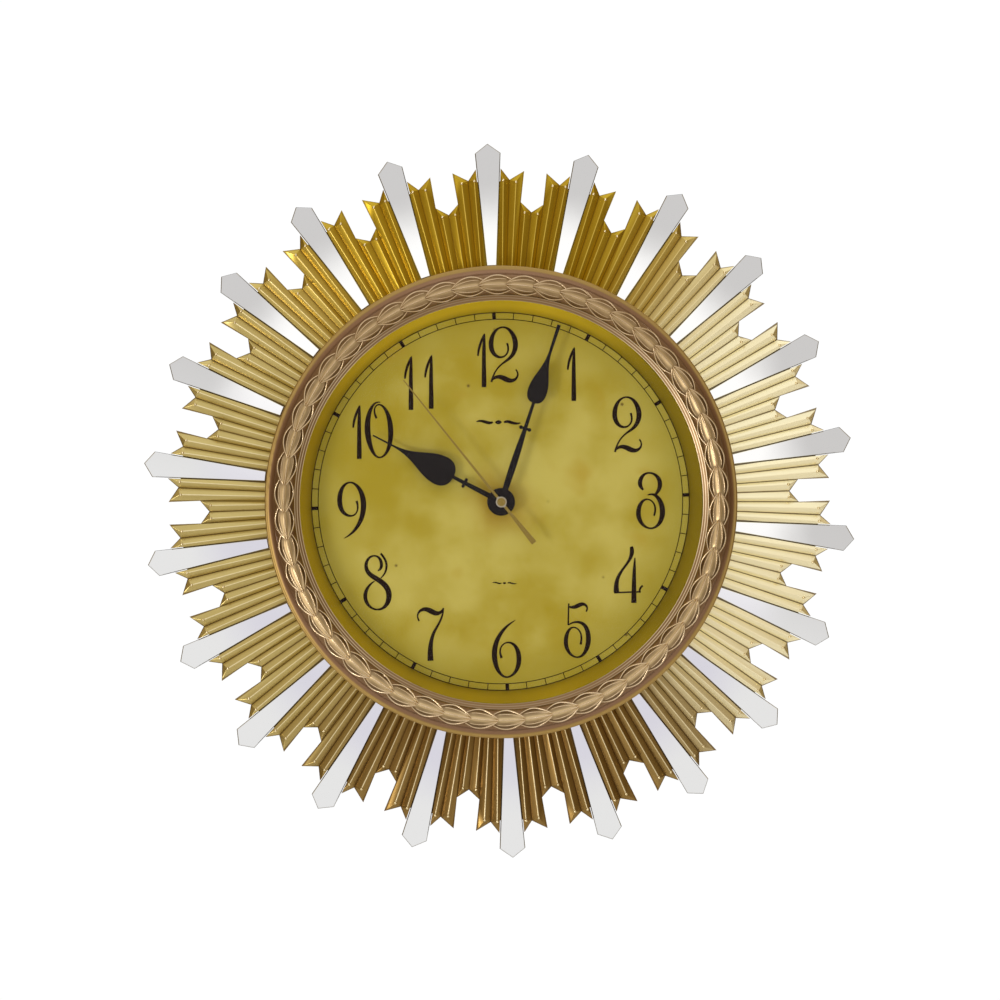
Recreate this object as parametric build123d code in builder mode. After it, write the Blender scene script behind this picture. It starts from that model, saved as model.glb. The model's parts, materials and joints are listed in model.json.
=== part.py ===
from build123d import *
import math
import os

# A sunburst wall clock, in millimetres.
# The origin is on the clock's main axis, in the plane of the wall. X points to the right and Z up
# for someone who looks at the dial, and the clock stands out of the wall towards -Y.
# Depths are distances from the wall. Clock angles are in degrees, clockwise from 12 o'clock.

FRONT = Plane.XZ
SECTION = Plane(origin=(0, 0, 0), x_dir=(1, 0, 0), z_dir=(0, 0, -1))

# ---- sunburst ----
ray_count = 22
tip_radius = 228.6
ray_shoulder_setback = 6.1
ray_half_width_outer = 8.2
ray_half_width_inner = 3.2
ray_gap_at_bezel = 0.9
ray_thickness = 2.0
ray_side_gap = 0.5
ray_bevel = 0.5
horn_setback = 16.1
notch_depth = 7.0
inner_horn_setback = 17.0
gap_half_width = 7.25
gap_corner_setback = 37.1
gap_bottom_setback = 42.9
notch_angle = 4.5
gap_valley_angle = 2.15
side_valley_angle = 6.6
crest_angles = (1.3, 3.3, 5.6)
crest_rise_per_radius = 0.0151
hip_slope = 45.0
frame_back = 18.5
floor_thickness = 2.5
fan_step = 1.5
fan_rim = 2.0
fan_recess = 2.0
web_rim = 1.5
seat_setback = 8.0
seat_tongue_rim = 1.5
seat_tongue_setback = 3.0

# ---- bezel, glass and dial ----
clock_depth = 63.5
bezel_radius = 149.7
bezel_side_wall = 2.9
bezel_inner_wall = 2.2
bezel_band_outer = 5.7
bezel_band_inner = 18.9
bezel_bore_setback = 19.7
bezel_lip = 2.5
bezel_lip_height = 2.0
bezel_band_foot_setback = 5.5
bezel_band_skin = 3.0
bezel_cove_inset = 4.2
bezel_cove_setback = 9.8
bezel_cove_skin = 4.0
bezel_cove_wall = 1.0
bezel_bead_inset = 1.5
bezel_bead_height = 2.2
bezel_side_setback = 13.5
bezel_side_inset = 0.5
fan_bezel_gap = 0.6
glass_thickness = 2.5
glass_front_setback = 9.0
glass_clearance = 0.6
dial_plate_back = 30.0
dial_plate_thickness = 2.5
dial_card_thickness = 0.5
dial_card_setback = 6.0
dial_window_setback = 8.8
surround_wall = 1.6
surround_flange = 3.0
surround_lip_room = 0.3

# ---- back cover and fasteners ----
cover_wall_setback = 11.5
cover_wall = 2.5
cover_plate_back = 4.0
cover_plate_thickness = 2.2
cover_flange_thickness = 2.2
cover_flange_setback = 2.7
clamp_rib_setback = 5.5
clamp_rib_width = 2.5
web_hole_gap = 1.0
bay_side_room = 14.0
bay_corner = 6.0
case_screw_count = 6
case_screw_setback = 9.9
case_screw_radius = 1.45
case_screw_head_radius = 2.9
case_screw_head_height = 2.0
case_screw_reach = 12.0
case_boss_radius = 3.8
case_boss_setback = 2.5
case_hole_room = 1.0
screw_clearance = 0.25
thread_clearance = 0.05

# ---- hanger ----
hanger_setback = 23.0
hanger_half_width = 19.0
hanger_half_height = 13.0
hanger_thickness = 1.2
hanger_corner = 4.0
keyhole_head_radius = 4.5
keyhole_slot_radius = 2.2
keyhole_slot_length = 8.0
keyhole_room = 2.0
hanger_screw_spacing = 28.0
hanger_screw_radius = 1.2
hanger_screw_head_radius = 2.4
hanger_screw_head_height = 1.2
hanger_screw_reach = 2.0

# ---- movement case ----
case_wall = 1.4
case_front_wall = 1.4
case_side_room = 3.4
cell_end_room = 1.35
coil_top_room = 0.7
train_bottom_room = 0.95
cell_back_room = 0.6
cell_partition_room = 0.2
case_corner = 3.0
case_fit = 0.2
partition = 1.0
cover_thickness = 1.4
washer_thickness = 1.0
washer_radius = 10.0
bush_radius = 3.9
bush_reach = 3.8
bush_hole_clearance = 0.3
flat_washer_radius = 7.5
flat_washer_thickness = 0.6
nut_across_flats = 12.0
nut_thickness = 2.4
middle_plate_thickness = 1.2
middle_plate_side_room = 3.8
middle_plate_top_room = 0.6
pinion_hole_room = 0.4
arbor_hole_room = 0.6
plate_post_radius = 1.6
plate_post_inset = 1.8
plate_pin_radius = 0.8
corner_post_radius = 1.4
corner_post_inset = 1.2
cover_corner = 1.4

# ---- arbors and pipes ----
running_fit = 0.05
press_clearance = 0.02
seconds_arbor_radius = 0.7
minute_pipe_wall = 1.05
hour_pipe_wall = 0.65
train_arbor_radius = 0.5
setting_arbor_radius = 1.4
pivot_depth = 0.7
pivot_room = 0.3
arbor_overhang = 0.9
motion_stud_radius = 0.75
motion_stud_overhang = 0.4

# ---- wheels: tooth counts and modules ----
rotor_pinion_teeth = 8
intermediate_wheel_teeth = 48
intermediate_pinion_teeth = 12
seconds_wheel_teeth = 60
seconds_pinion_teeth = 8
third_wheel_teeth = 60
third_pinion_teeth = 8
centre_wheel_teeth = 64
cannon_pinion_teeth = 12
minute_wheel_teeth = 36
minute_pinion_teeth = 10
hour_wheel_teeth = 40
setting_pinion_teeth = 10
rotor_module = 0.30
intermediate_module = 0.25
third_module = 0.36
motion_module = 0.40
tooth_pressure_angle = 30.0
tooth_addendum = 0.8
tooth_dedendum = 1.05
tooth_backlash = 0.12
wheel_thickness = 0.8
pinion_overhang = 0.3
web_gap = 0.7
motion_web_gap = 0.8
hour_wheel_thickness = 1.0
hour_wheel_setback = 2.6
hour_collar_wall = 1.2
third_wheel_setback = 2.1
third_web_gap = 1.0
pipe_root_overhang = 0.3
hour_pipe_root_overhang = 0.2
minute_pipe_overhang = 0.4
hour_pipe_overhang = 0.5

# ---- setting knob ----
knob_setback = 4.0
knob_height = 3.4
knob_radius = 4.5
knob_flutes = 18
knob_flute_circle = 4.6
knob_flute_radius = 0.35

# ---- directions between wheel centres, in degrees from the X axis ----
third_direction = 10.0
intermediate_direction = 150.0
rotor_direction = 110.0
motion_direction = 190.0
setting_direction = 200.0

# ---- motor, board and battery ----
magnet_radius = 3.0
magnet_length = 3.0
rotor_air_gap = 0.5
stator_thickness = 1.0
stator_leg = 4.2
stator_rim = 1.6
stator_left_reach = 12.3
stator_right_reach = 11.7
stator_web_gap = 0.3
stator_bar_room = 0.5
stator_leg_overhang = 0.9
stator_boss_radius = 2.0
core_height = 3.0
core_thickness = 1.4
winding_radius = 3.8
bobbin_wall = 0.6
bobbin_flange = 0.8
bobbin_flange_rim = 0.2
bobbin_core_room = 0.1
coil_room = 0.6
stator_screw_radius = 0.95
stator_screw_head_radius = 1.7
stator_screw_head_height = 0.9
stator_screw_reach = 4.0
stator_hole_room = 0.5
board_thickness = 1.0
board_width = 17.5
board_height = 8.0
board_setback = 1.7
board_side_gap = 3.6
board_top_gap = 0.2
chip_inset = (4.5, 4.0)
chip_radius = 2.6
chip_height = 0.9
chip_rounding = 0.5
crystal_rounding = 0.3
crystal_inset = (9.5, 4.0)
crystal_radius = 1.0
crystal_length = 6.0
cell_radius = 7.1
cell_length = 50.5
cell_nub_length = 1.2
cell_nub_radius = 2.7
cell_clearance = 0.3
cell_rounding = 0.5
contact_thickness = 0.4
contact_gap = 0.05
contact_half_width = 5.0
positive_contact_height = 9.0
negative_contact_height = 10.0
contact_bow_half = 4.5
contact_bow_wall = 0.5

# ---- hands ----
hour_angle = 299.5
minute_angle = 20.2
second_angle = 323.3
hub_radius = 8.8
hand_thickness = 0.8
hour_hand_rise = 2.2
minute_hand_rise = 3.2
second_hand_rise = 2.2
hour_boss_wall = 1.2
hour_boss_length = 1.4
minute_boss_wall = 1.3
minute_boss_length = 1.6
second_boss_wall = 0.9
second_boss_length = 1.2
second_hand_thickness = 0.5
second_root_half = 0.9
second_tip_half = 0.35
second_tail_half = 1.8
second_tail_waist = 0.2
hour_tip_setback = 28.9
minute_tip_setback = 2.4
second_tip_setback = 21.6
second_tail = 33.3
second_cap_radius = 3.5
second_cap_height = 1.6
second_cap_roof = 0.5
second_cap_room = 0.1
second_cap_rounding = 0.5

# The places along a spade hand are shares of its length. The other numbers are millimetres.
# Shaft: root, middle and end half-widths.
hour_shaft = (1.7, 1.6, 1.3)
minute_shaft = (1.3, 2.15, 1.2)
# Collar: its place, the knobs' offset and radius, and its half-height.
hour_collar = (0.2835, 2.2, 1.1, 0.9)
minute_collar = (0.4146, 2.8, 1.2, 0.9)
# Spade: its base, its widest place and half-width, its taper's end, the stem's and the tip's half-widths.
hour_spade = (0.3708, 0.4689, 9.45, 0.8506, 0.6, 0.5)
minute_spade = (0.5584, 0.6261, 6.15, 0.8545, 0.9, 1.15)
shaft_middle_share = 0.55
spade_neck_share = 0.8
spade_overlap = 1.5
spade_base_pull = 1.6
spade_taper_pull = 1.4

# ---- radii that follow from the bezel ----
bore_radius = bezel_radius - bezel_bore_setback
disc_radius = bore_radius - glass_clearance
window_radius = disc_radius - dial_window_setback
card_radius = disc_radius - dial_card_setback
cover_radius = bezel_radius - cover_flange_setback
cover_wall_radius = bore_radius - cover_wall_setback
screw_circle = bezel_radius - case_screw_setback
fan_inner_radius = bezel_radius + fan_bezel_gap
ray_inner_radius = bezel_radius + ray_gap_at_bezel
ray_shoulder_radius = tip_radius - ray_shoulder_setback
ray_pitch = 360 / ray_count

# ---- depths, from the wall to the front ----
floor_front = frame_back + floor_thickness
valley_depth = floor_front + fan_step
plate_front = dial_plate_back + dial_plate_thickness
card_front = plate_front + dial_card_thickness
glass_front = clock_depth - glass_front_setback
glass_back = glass_front - glass_thickness
washer_front = card_front + flat_washer_thickness
bush_front = card_front + bush_reach
hour_hand_back = bush_front + hour_hand_rise
hour_hand_front = hour_hand_back + hand_thickness
minute_hand_back = hour_hand_front + minute_hand_rise
minute_hand_front = minute_hand_back + hand_thickness
second_hand_back = minute_hand_front + second_hand_rise
second_cap_front = second_hand_back + second_cap_height

case_front = dial_plate_back - washer_thickness
case_inner_front = case_front - case_front_wall
cell_depth = case_inner_front - cell_clearance - cell_radius
case_back = cell_depth - cell_radius - cell_back_room
cover_front = case_back + cover_thickness
hour_wheel_back = case_inner_front - hour_wheel_setback
hour_wheel_front = hour_wheel_back + hour_wheel_thickness
minute_wheel_back = hour_wheel_back - wheel_thickness - motion_web_gap
centre_wheel_back = minute_wheel_back - wheel_thickness - web_gap
middle_plate_front = centre_wheel_back - web_gap
middle_plate_back = middle_plate_front - middle_plate_thickness
third_wheel_back = middle_plate_back - third_wheel_setback
seconds_wheel_back = third_wheel_back - wheel_thickness - third_web_gap
intermediate_wheel_back = seconds_wheel_back - wheel_thickness - web_gap
stator_back = seconds_wheel_back + wheel_thickness + stator_web_gap
core_back = stator_back + stator_thickness
coil_depth = core_back + core_thickness / 2
board_back = stator_back - board_setback

# ---- pipe radii, from the inside out ----
minute_pipe_bore = seconds_arbor_radius + running_fit
minute_pipe_radius = minute_pipe_bore + minute_pipe_wall
hour_pipe_bore = minute_pipe_radius + running_fit
hour_pipe_radius = hour_pipe_bore + hour_pipe_wall
bush_bore = hour_pipe_radius + running_fit


def polar(radius, clock_angle):
    """A point in the front plane, at a radius and a clock angle."""
    turn = math.radians(clock_angle)
    return (radius * math.sin(turn), radius * math.cos(turn))


def front_at(depth, clock_angle=0.0):
    """The front plane at a depth, turned so that its own Y points at a clock angle."""
    turn = math.radians(clock_angle)
    return Plane(origin=(0, -depth, 0), x_dir=(math.cos(turn), 0, -math.sin(turn)), z_dir=(0, -1, 0))


def beyond(point, distance, direction):
    """The point at a distance from another, in a direction in degrees from the X axis."""
    turn = math.radians(direction)
    return (point[0] + distance * math.cos(turn), point[1] + distance * math.sin(turn))


def tip_radius_of(teeth, module):
    """The radius over a gear's tooth tips."""
    return module * (teeth / 2 + tooth_addendum)


def centre_distance(teeth, mating_teeth, module):
    """How far apart two meshed gears stand."""
    return module * (teeth + mating_teeth) / 2


def meshed_phase(teeth, phase, direction, mating_teeth):
    """The angle that puts a gap of the mating gear on a tooth of the first, in degrees."""
    tooth_lead = (phase - direction) * teeth
    return direction + 180 + (180 - tooth_lead) / mating_teeth


def gear_outline(teeth, module, phase):
    """A spur gear's outline: involute flanks in short straight steps."""
    pitch_radius = module * teeth / 2
    base_radius = pitch_radius * math.cos(math.radians(tooth_pressure_angle))
    outer = tip_radius_of(teeth, module)
    root = pitch_radius - tooth_dedendum * module
    flank_start = max(base_radius, root)

    def involute(radius):
        slope = math.acos(min(1.0, base_radius / radius))
        return math.tan(slope) - slope

    pitch_half_angle = (math.pi * module - tooth_backlash) / (4 * pitch_radius)
    flank = [(root, pitch_half_angle + involute(pitch_radius) - involute(flank_start))]
    for step in (0.0, 0.5, 1.0):
        radius = flank_start + (outer - flank_start) * step
        flank.append((radius, pitch_half_angle + involute(pitch_radius) - involute(radius)))
    if flank_start == root:
        flank.pop(0)

    points = []
    for tooth in range(teeth):
        middle = math.radians(phase) + 2 * math.pi * tooth / teeth
        for radius, half_angle in flank:
            points.append((radius * math.cos(middle - half_angle), radius * math.sin(middle - half_angle)))
        for radius, half_angle in reversed(flank):
            points.append((radius * math.cos(middle + half_angle), radius * math.sin(middle + half_angle)))
    with BuildSketch() as outline:
        with BuildLine():
            Polyline(*points, close=True)
        make_face()
    return outline.sketch


def gear(centre, depth, thickness, teeth, module, phase):
    """Adds a spur gear to the current part."""
    place = Plane(origin=(centre[0], -depth, centre[1]), x_dir=(1, 0, 0), z_dir=(0, -1, 0))
    extrude(place * gear_outline(teeth, module, phase), amount=thickness)


def round_bar(centre, radius, back, front, mode=Mode.ADD):
    """Adds a round bar along the clock's axis, or cuts a round hole with mode=Mode.SUBTRACT."""
    with Locations(Plane(origin=(centre[0], -back, centre[1]), x_dir=(1, 0, 0), z_dir=(0, -1, 0))):
        Cylinder(radius, front - back, align=(Align.CENTER, Align.CENTER, Align.MIN), mode=mode)


def finish(builder, label):
    """Labels a finished piece and writes it."""
    builder.part.label = label
    export_step(builder.part, f"parts/{label}.step")


os.makedirs("parts", exist_ok=True)


# ================= sunburst =================
def ray_half_width(radius):
    """Half the width of a mirror ray at a distance from the clock's axis."""
    share = (radius - bezel_radius) / (ray_shoulder_radius - bezel_radius)
    return ray_half_width_inner + (ray_half_width_outer - ray_half_width_inner) * share


def fan_side(radius):
    """A point on a fan's right side, beside the next ray, with the fan's middle at 12 o'clock."""
    x = -ray_half_width(radius) - ray_side_gap
    turn = math.radians(ray_pitch / 2)
    return (x * math.cos(turn) + radius * math.sin(turn), radius * math.cos(turn) - x * math.sin(turn))


horn = fan_side(tip_radius - horn_setback)
notch = polar(tip_radius - horn_setback - notch_depth, notch_angle)
inner_horn = (gap_half_width, tip_radius - inner_horn_setback)
gap_corner = (gap_half_width, tip_radius - gap_corner_setback)
gap_bottom = (0.0, tip_radius - gap_bottom_setback)
fan_root = fan_side(fan_inner_radius - 1.0)
right_half = [fan_root, horn, notch, inner_horn, gap_corner]
fan_points = right_half + [gap_bottom] + [(-x, y) for x, y in reversed(right_half)]


def fan_outline(inset=0.0):
    """Draws a fan seen from the front, with its middle at 12 o'clock."""
    Polygon(*fan_points, align=None)
    Circle(fan_inner_radius, mode=Mode.SUBTRACT)
    if inset:
        offset(amount=-inset, kind=Kind.INTERSECTION)


def flank_plane(crest_angle, valley_angle):
    """The plane from a pleat's crest line down to a valley line: both start on the clock's axis."""
    crest_x, crest_z = polar(1.0, crest_angle)
    valley_x, valley_z = polar(1.0, valley_angle)
    crest = Vector(crest_x, -crest_rise_per_radius, crest_z)
    normal = crest.cross(Vector(valley_x, 0, valley_z))
    if normal.Y > 0:
        normal = -normal
    return Plane(origin=(0, -valley_depth, 0), z_dir=normal)


def hip_plane(start, end):
    """The sloping end of a pleat: it rises inwards from an edge of the fan's outline."""
    along = Vector(end[0] - start[0], 0, end[1] - start[1]).normalized()
    outward = Vector(along.Z, 0, -along.X)
    if outward.Z < 0:
        outward = -outward
    slope = math.radians(hip_slope)
    normal = Vector(0, -math.cos(slope), 0) + outward * math.sin(slope)
    return Plane(origin=(start[0], -valley_depth, start[1]), z_dir=normal)


def pleat(valley_angles, crest_angle, edge):
    """One raised pleat on the right half of a fan, under two flanks and a hip."""
    reach = 2 * tip_radius
    with BuildPart() as ridge:
        with BuildSketch(FRONT.offset(valley_depth)):
            fan_outline()
            near, far = valley_angles
            Polygon((0, 0), polar(reach, near), polar(reach, far), align=None, mode=Mode.INTERSECT)
        extrude(amount=crest_rise_per_radius * tip_radius)
        split(bisect_by=flank_plane(crest_angle, near), keep=Keep.BOTTOM)
        split(bisect_by=flank_plane(crest_angle, far), keep=Keep.BOTTOM)
        split(bisect_by=hip_plane(*edge), keep=Keep.BOTTOM)
    return ridge.part


right_pleats = [
    pleat((0.0, gap_valley_angle), crest_angles[0], (gap_bottom, gap_corner)),
    pleat((gap_valley_angle, notch_angle), crest_angles[1], (inner_horn, notch)),
    pleat((notch_angle, side_valley_angle), crest_angles[2], (notch, horn)),
]

with BuildPart() as fan:
    with BuildSketch(FRONT.offset(frame_back)):
        fan_outline()
    extrude(amount=valley_depth - frame_back)
    with BuildSketch(FRONT.offset(frame_back)):
        fan_outline(inset=fan_rim)
    extrude(amount=fan_recess, mode=Mode.SUBTRACT)
    add(right_pleats)
    add([ridge.mirror(Plane.YZ) for ridge in right_pleats])

with BuildPart() as sunburst_frame:
    with BuildSketch(FRONT.offset(frame_back)):
        Circle(fan_inner_radius + web_rim)
        with PolarLocations(0, ray_count, start_angle=90):
            seat_end = tip_radius - horn_setback - seat_setback
            tongue_end = ray_shoulder_radius - seat_tongue_setback
            seat_root = ray_half_width(fan_inner_radius) + 2 * ray_side_gap
            seat_tip = ray_half_width(seat_end) + 2 * ray_side_gap
            tongue = ray_half_width(seat_end) - seat_tongue_rim
            Polygon(
                (fan_inner_radius - 1, -seat_root), (seat_end, -seat_tip), (seat_end, -tongue),
                (tongue_end, -tongue), (tongue_end, tongue), (seat_end, tongue),
                (seat_end, seat_tip), (fan_inner_radius - 1, seat_root), align=None,
            )
        Circle(bore_radius + web_hole_gap, mode=Mode.SUBTRACT)
    extrude(amount=floor_thickness)
    add([fan.part.rotate(Axis.Y, ray_pitch * (index + 0.5)) for index in range(ray_count)])
    with BuildSketch(FRONT.offset(frame_back)):
        with PolarLocations(screw_circle, case_screw_count):
            Circle(case_screw_radius + screw_clearance)
    extrude(amount=floor_thickness, mode=Mode.SUBTRACT)
finish(sunburst_frame, "sunburst_frame")

for number in range(1, ray_count + 1):
    with BuildPart() as mirror_ray:
        with BuildSketch(front_at(floor_front, ray_pitch * (number - 1))):
            Polygon(
                (-ray_half_width(ray_inner_radius), ray_inner_radius),
                (-ray_half_width_outer, ray_shoulder_radius),
                (0, tip_radius),
                (ray_half_width_outer, ray_shoulder_radius),
                (ray_half_width(ray_inner_radius), ray_inner_radius),
                align=None,
            )
        extrude(amount=ray_thickness)
        chamfer(mirror_ray.faces().sort_by(Axis.Y)[0].edges(), ray_bevel)
    finish(mirror_ray, f"mirror_ray_{number:02d}")

# ================= bezel, glass and dial =================
band_outer_radius = bezel_radius - bezel_band_outer
band_inner_radius = bezel_radius - bezel_band_inner
band_middle_radius = (band_outer_radius + band_inner_radius) / 2
band_foot_depth = clock_depth - bezel_band_foot_setback
lip_radius = bore_radius - bezel_lip
side_top = clock_depth - bezel_side_setback
side_radius = bezel_radius - bezel_side_inset
bead_radius = bezel_radius - bezel_bead_inset
bead_top = side_top + bezel_bead_height

with BuildPart() as bezel_ring:
    with BuildSketch(SECTION):
        with BuildLine():
            Polyline(
                (bore_radius, floor_front), (bore_radius, glass_front), (lip_radius, glass_front),
                (lip_radius, glass_front + bezel_lip_height), (band_inner_radius, band_foot_depth),
            )
            ThreePointArc(
                (band_inner_radius, band_foot_depth), (band_middle_radius, clock_depth),
                (band_outer_radius, band_foot_depth),
            )
            ThreePointArc(
                (band_outer_radius, band_foot_depth),
                (bezel_radius - bezel_cove_inset, clock_depth - bezel_cove_setback),
                (bead_radius, bead_top),
            )
            ThreePointArc(
                (bead_radius, bead_top), (bezel_radius, (side_top + bead_top) / 2), (side_radius, side_top),
            )
            Polyline(
                (side_radius, side_top), (side_radius, floor_front),
                (bezel_radius - bezel_side_wall, floor_front),
                (bezel_radius - bezel_side_wall, side_top),
                (band_outer_radius - bezel_cove_wall, band_foot_depth - bezel_cove_skin),
                (band_middle_radius, clock_depth - bezel_band_skin),
                (bore_radius + bezel_inner_wall, band_foot_depth - bezel_band_skin),
                (bore_radius + bezel_inner_wall, floor_front), (bore_radius, floor_front),
            )
        make_face()
    revolve(axis=Axis.Y)
    with BuildSketch(FRONT.offset(floor_front)):
        with PolarLocations(screw_circle, case_screw_count):
            Circle(case_boss_radius)
    extrude(amount=band_foot_depth - case_boss_setback - floor_front)
    with BuildSketch(FRONT.offset(floor_front)):
        with PolarLocations(screw_circle, case_screw_count):
            Circle(case_screw_radius + thread_clearance)
    extrude(amount=case_screw_reach + case_hole_room, mode=Mode.SUBTRACT)
finish(bezel_ring, "bezel_ring")

with BuildPart() as lens_glass:
    round_bar((0, 0), disc_radius, glass_back, glass_front)
finish(lens_glass, "lens_glass")

with BuildPart() as dial_surround:
    with BuildSketch(SECTION):
        mouth_radius = lip_radius - surround_lip_room
        Polygon(
            (disc_radius, glass_back), (mouth_radius, glass_back), (window_radius, card_front),
            (window_radius + surround_wall, card_front),
            (lip_radius, glass_back - surround_flange),
            (disc_radius, glass_back - surround_flange),
            align=None,
        )
    revolve(axis=Axis.Y)
finish(dial_surround, "dial_surround")

with BuildPart() as dial_card:
    round_bar((0, 0), card_radius, plate_front, card_front)
    round_bar((0, 0), bush_radius + bush_hole_clearance, plate_front, card_front, Mode.SUBTRACT)
finish(dial_card, "dial_card")

with BuildPart() as dial_plate:
    round_bar((0, 0), disc_radius, dial_plate_back, plate_front)
    round_bar((0, 0), bush_radius + bush_hole_clearance, dial_plate_back, plate_front, Mode.SUBTRACT)
finish(dial_plate, "dial_plate")

# ================= wheel centres in the front plane =================
main_axis = (0.0, 0.0)
third_distance = centre_distance(seconds_pinion_teeth, third_wheel_teeth, third_module)
centre_module = 2 * third_distance / (third_pinion_teeth + centre_wheel_teeth)
motion_distance = centre_distance(cannon_pinion_teeth, minute_wheel_teeth, motion_module)
hour_module = 2 * motion_distance / (minute_pinion_teeth + hour_wheel_teeth)
intermediate_distance = centre_distance(
    intermediate_pinion_teeth, seconds_wheel_teeth, intermediate_module,
)
rotor_distance = centre_distance(rotor_pinion_teeth, intermediate_wheel_teeth, rotor_module)
setting_distance = centre_distance(setting_pinion_teeth, minute_wheel_teeth, motion_module)
third_axis = beyond(main_axis, third_distance, third_direction)
intermediate_axis = beyond(main_axis, intermediate_distance, intermediate_direction)
rotor_axis = beyond(intermediate_axis, rotor_distance, rotor_direction)
motion_axis = beyond(main_axis, motion_distance, motion_direction)
setting_axis = beyond(motion_axis, setting_distance, setting_direction)

# The teeth of every driven wheel are placed to mesh with the pinion that drives it.
intermediate_phase = meshed_phase(
    rotor_pinion_teeth, 0.0, rotor_direction + 180, intermediate_wheel_teeth,
)
seconds_phase = meshed_phase(
    intermediate_pinion_teeth, 0.0, intermediate_direction + 180, seconds_wheel_teeth,
)
third_phase = meshed_phase(seconds_pinion_teeth, 0.0, third_direction, third_wheel_teeth)
centre_phase = meshed_phase(third_pinion_teeth, 0.0, third_direction + 180, centre_wheel_teeth)
minute_phase = meshed_phase(cannon_pinion_teeth, 0.0, motion_direction, minute_wheel_teeth)
hour_phase = meshed_phase(minute_pinion_teeth, 0.0, motion_direction + 180, hour_wheel_teeth)
setting_phase = meshed_phase(minute_wheel_teeth, minute_phase, setting_direction, setting_pinion_teeth)

# ================= movement case: it grows with the train and the battery =================
centre_reach = tip_radius_of(centre_wheel_teeth, centre_module)
case_half_width = max(
    third_axis[0] + tip_radius_of(third_wheel_teeth, third_module) + case_side_room,
    cell_length / 2 + cell_end_room,
) + case_wall
coil_height = rotor_axis[1] + magnet_radius + rotor_air_gap + stator_rim + winding_radius - coil_top_room
case_top = coil_height + winding_radius + coil_top_room + case_wall
partition_top = -centre_reach - train_bottom_room
partition_bottom = partition_top - partition
cell_height = partition_bottom - cell_clearance - cell_partition_room - cell_radius
case_bottom = cell_height - cell_radius - cell_clearance - case_wall
case_middle = (case_top + case_bottom) / 2
inner_half_width = case_half_width - case_wall
inner_top = case_top - case_wall
inner_bottom = case_bottom + case_wall
plate_half_width = inner_half_width - middle_plate_side_room
plate_top = coil_height - winding_radius - middle_plate_top_room


def four_posts(half_width, top, bottom, inset):
    """Four places inside the corners of an upright rectangle."""
    return [(side * (half_width - inset), z) for z in (top - inset, bottom + inset) for side in (1, -1)]


plate_post_points = four_posts(plate_half_width, plate_top, partition_top, plate_post_inset)
corner_posts = four_posts(inner_half_width, inner_top, partition_top, corner_post_inset)
stator_left = rotor_axis[0] - stator_left_reach
stator_right = rotor_axis[0] + stator_right_reach
stator_screws_at = [
    (stator_left + stator_leg / 2, coil_height),
    (stator_right - stator_leg / 2, coil_height),
]

with BuildPart() as movement_case:
    with BuildSketch(FRONT.offset(case_back)):
        with Locations((0, case_middle)):
            RectangleRounded(2 * case_half_width, case_top - case_bottom, case_corner)
    extrude(amount=case_front - case_back)
    with BuildSketch(FRONT.offset(case_back)):
        with Locations((0, case_middle)):
            RectangleRounded(2 * inner_half_width, inner_top - inner_bottom, case_corner - case_wall)
    extrude(amount=case_inner_front - case_back, mode=Mode.SUBTRACT)
    with BuildSketch(FRONT.offset(cover_front)):
        with Locations((0, (partition_top + partition_bottom) / 2)):
            Rectangle(2 * inner_half_width, partition)
        with Locations(*corner_posts):
            Circle(corner_post_radius)
    extrude(amount=case_inner_front - cover_front)
    with BuildSketch(FRONT.offset(middle_plate_front)):
        with Locations(*plate_post_points):
            Circle(plate_post_radius)
    extrude(amount=case_inner_front - middle_plate_front)
    with BuildSketch(FRONT.offset(middle_plate_back)):
        with Locations(*plate_post_points):
            Circle(plate_pin_radius)
    extrude(amount=middle_plate_thickness)
    with BuildSketch(FRONT.offset(core_back + core_thickness)):
        with Locations(*stator_screws_at):
            Circle(stator_boss_radius)
    extrude(amount=case_inner_front - core_back - core_thickness)
    with BuildSketch(FRONT.offset(core_back)):
        with Locations(*stator_screws_at):
            Circle(stator_screw_radius + thread_clearance)
    extrude(amount=core_thickness + stator_screw_reach + stator_hole_room, mode=Mode.SUBTRACT)
    round_bar(motion_axis, motion_stud_radius, minute_wheel_back - motion_stud_overhang, case_inner_front)
    round_bar(main_axis, bush_radius, case_front, bush_front)
    round_bar(main_axis, bush_bore, case_inner_front, bush_front, Mode.SUBTRACT)
    round_bar(third_axis, train_arbor_radius + running_fit, case_inner_front,
              case_inner_front + pivot_depth + pivot_room, Mode.SUBTRACT)
    round_bar(setting_axis, setting_arbor_radius + running_fit, case_inner_front,
              case_inner_front + pivot_depth + pivot_room, Mode.SUBTRACT)
finish(movement_case, "movement_case")

with BuildPart() as movement_cover:
    cover_top = inner_top - case_fit
    pivot_floor = cover_front - pivot_depth - pivot_room
    with BuildSketch(FRONT.offset(case_back)):
        with Locations((0, (cover_top + partition_bottom) / 2)):
            RectangleRounded(
                2 * (inner_half_width - case_fit), cover_top - partition_bottom, cover_corner,
            )
    extrude(amount=cover_thickness)
    for bearing in (third_axis, intermediate_axis, rotor_axis):
        round_bar(bearing, train_arbor_radius + running_fit, pivot_floor, cover_front, Mode.SUBTRACT)
    round_bar(main_axis, seconds_arbor_radius + running_fit, pivot_floor, cover_front, Mode.SUBTRACT)
    round_bar(setting_axis, setting_arbor_radius + running_fit, case_back, cover_front, Mode.SUBTRACT)
finish(movement_cover, "movement_cover")

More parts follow.
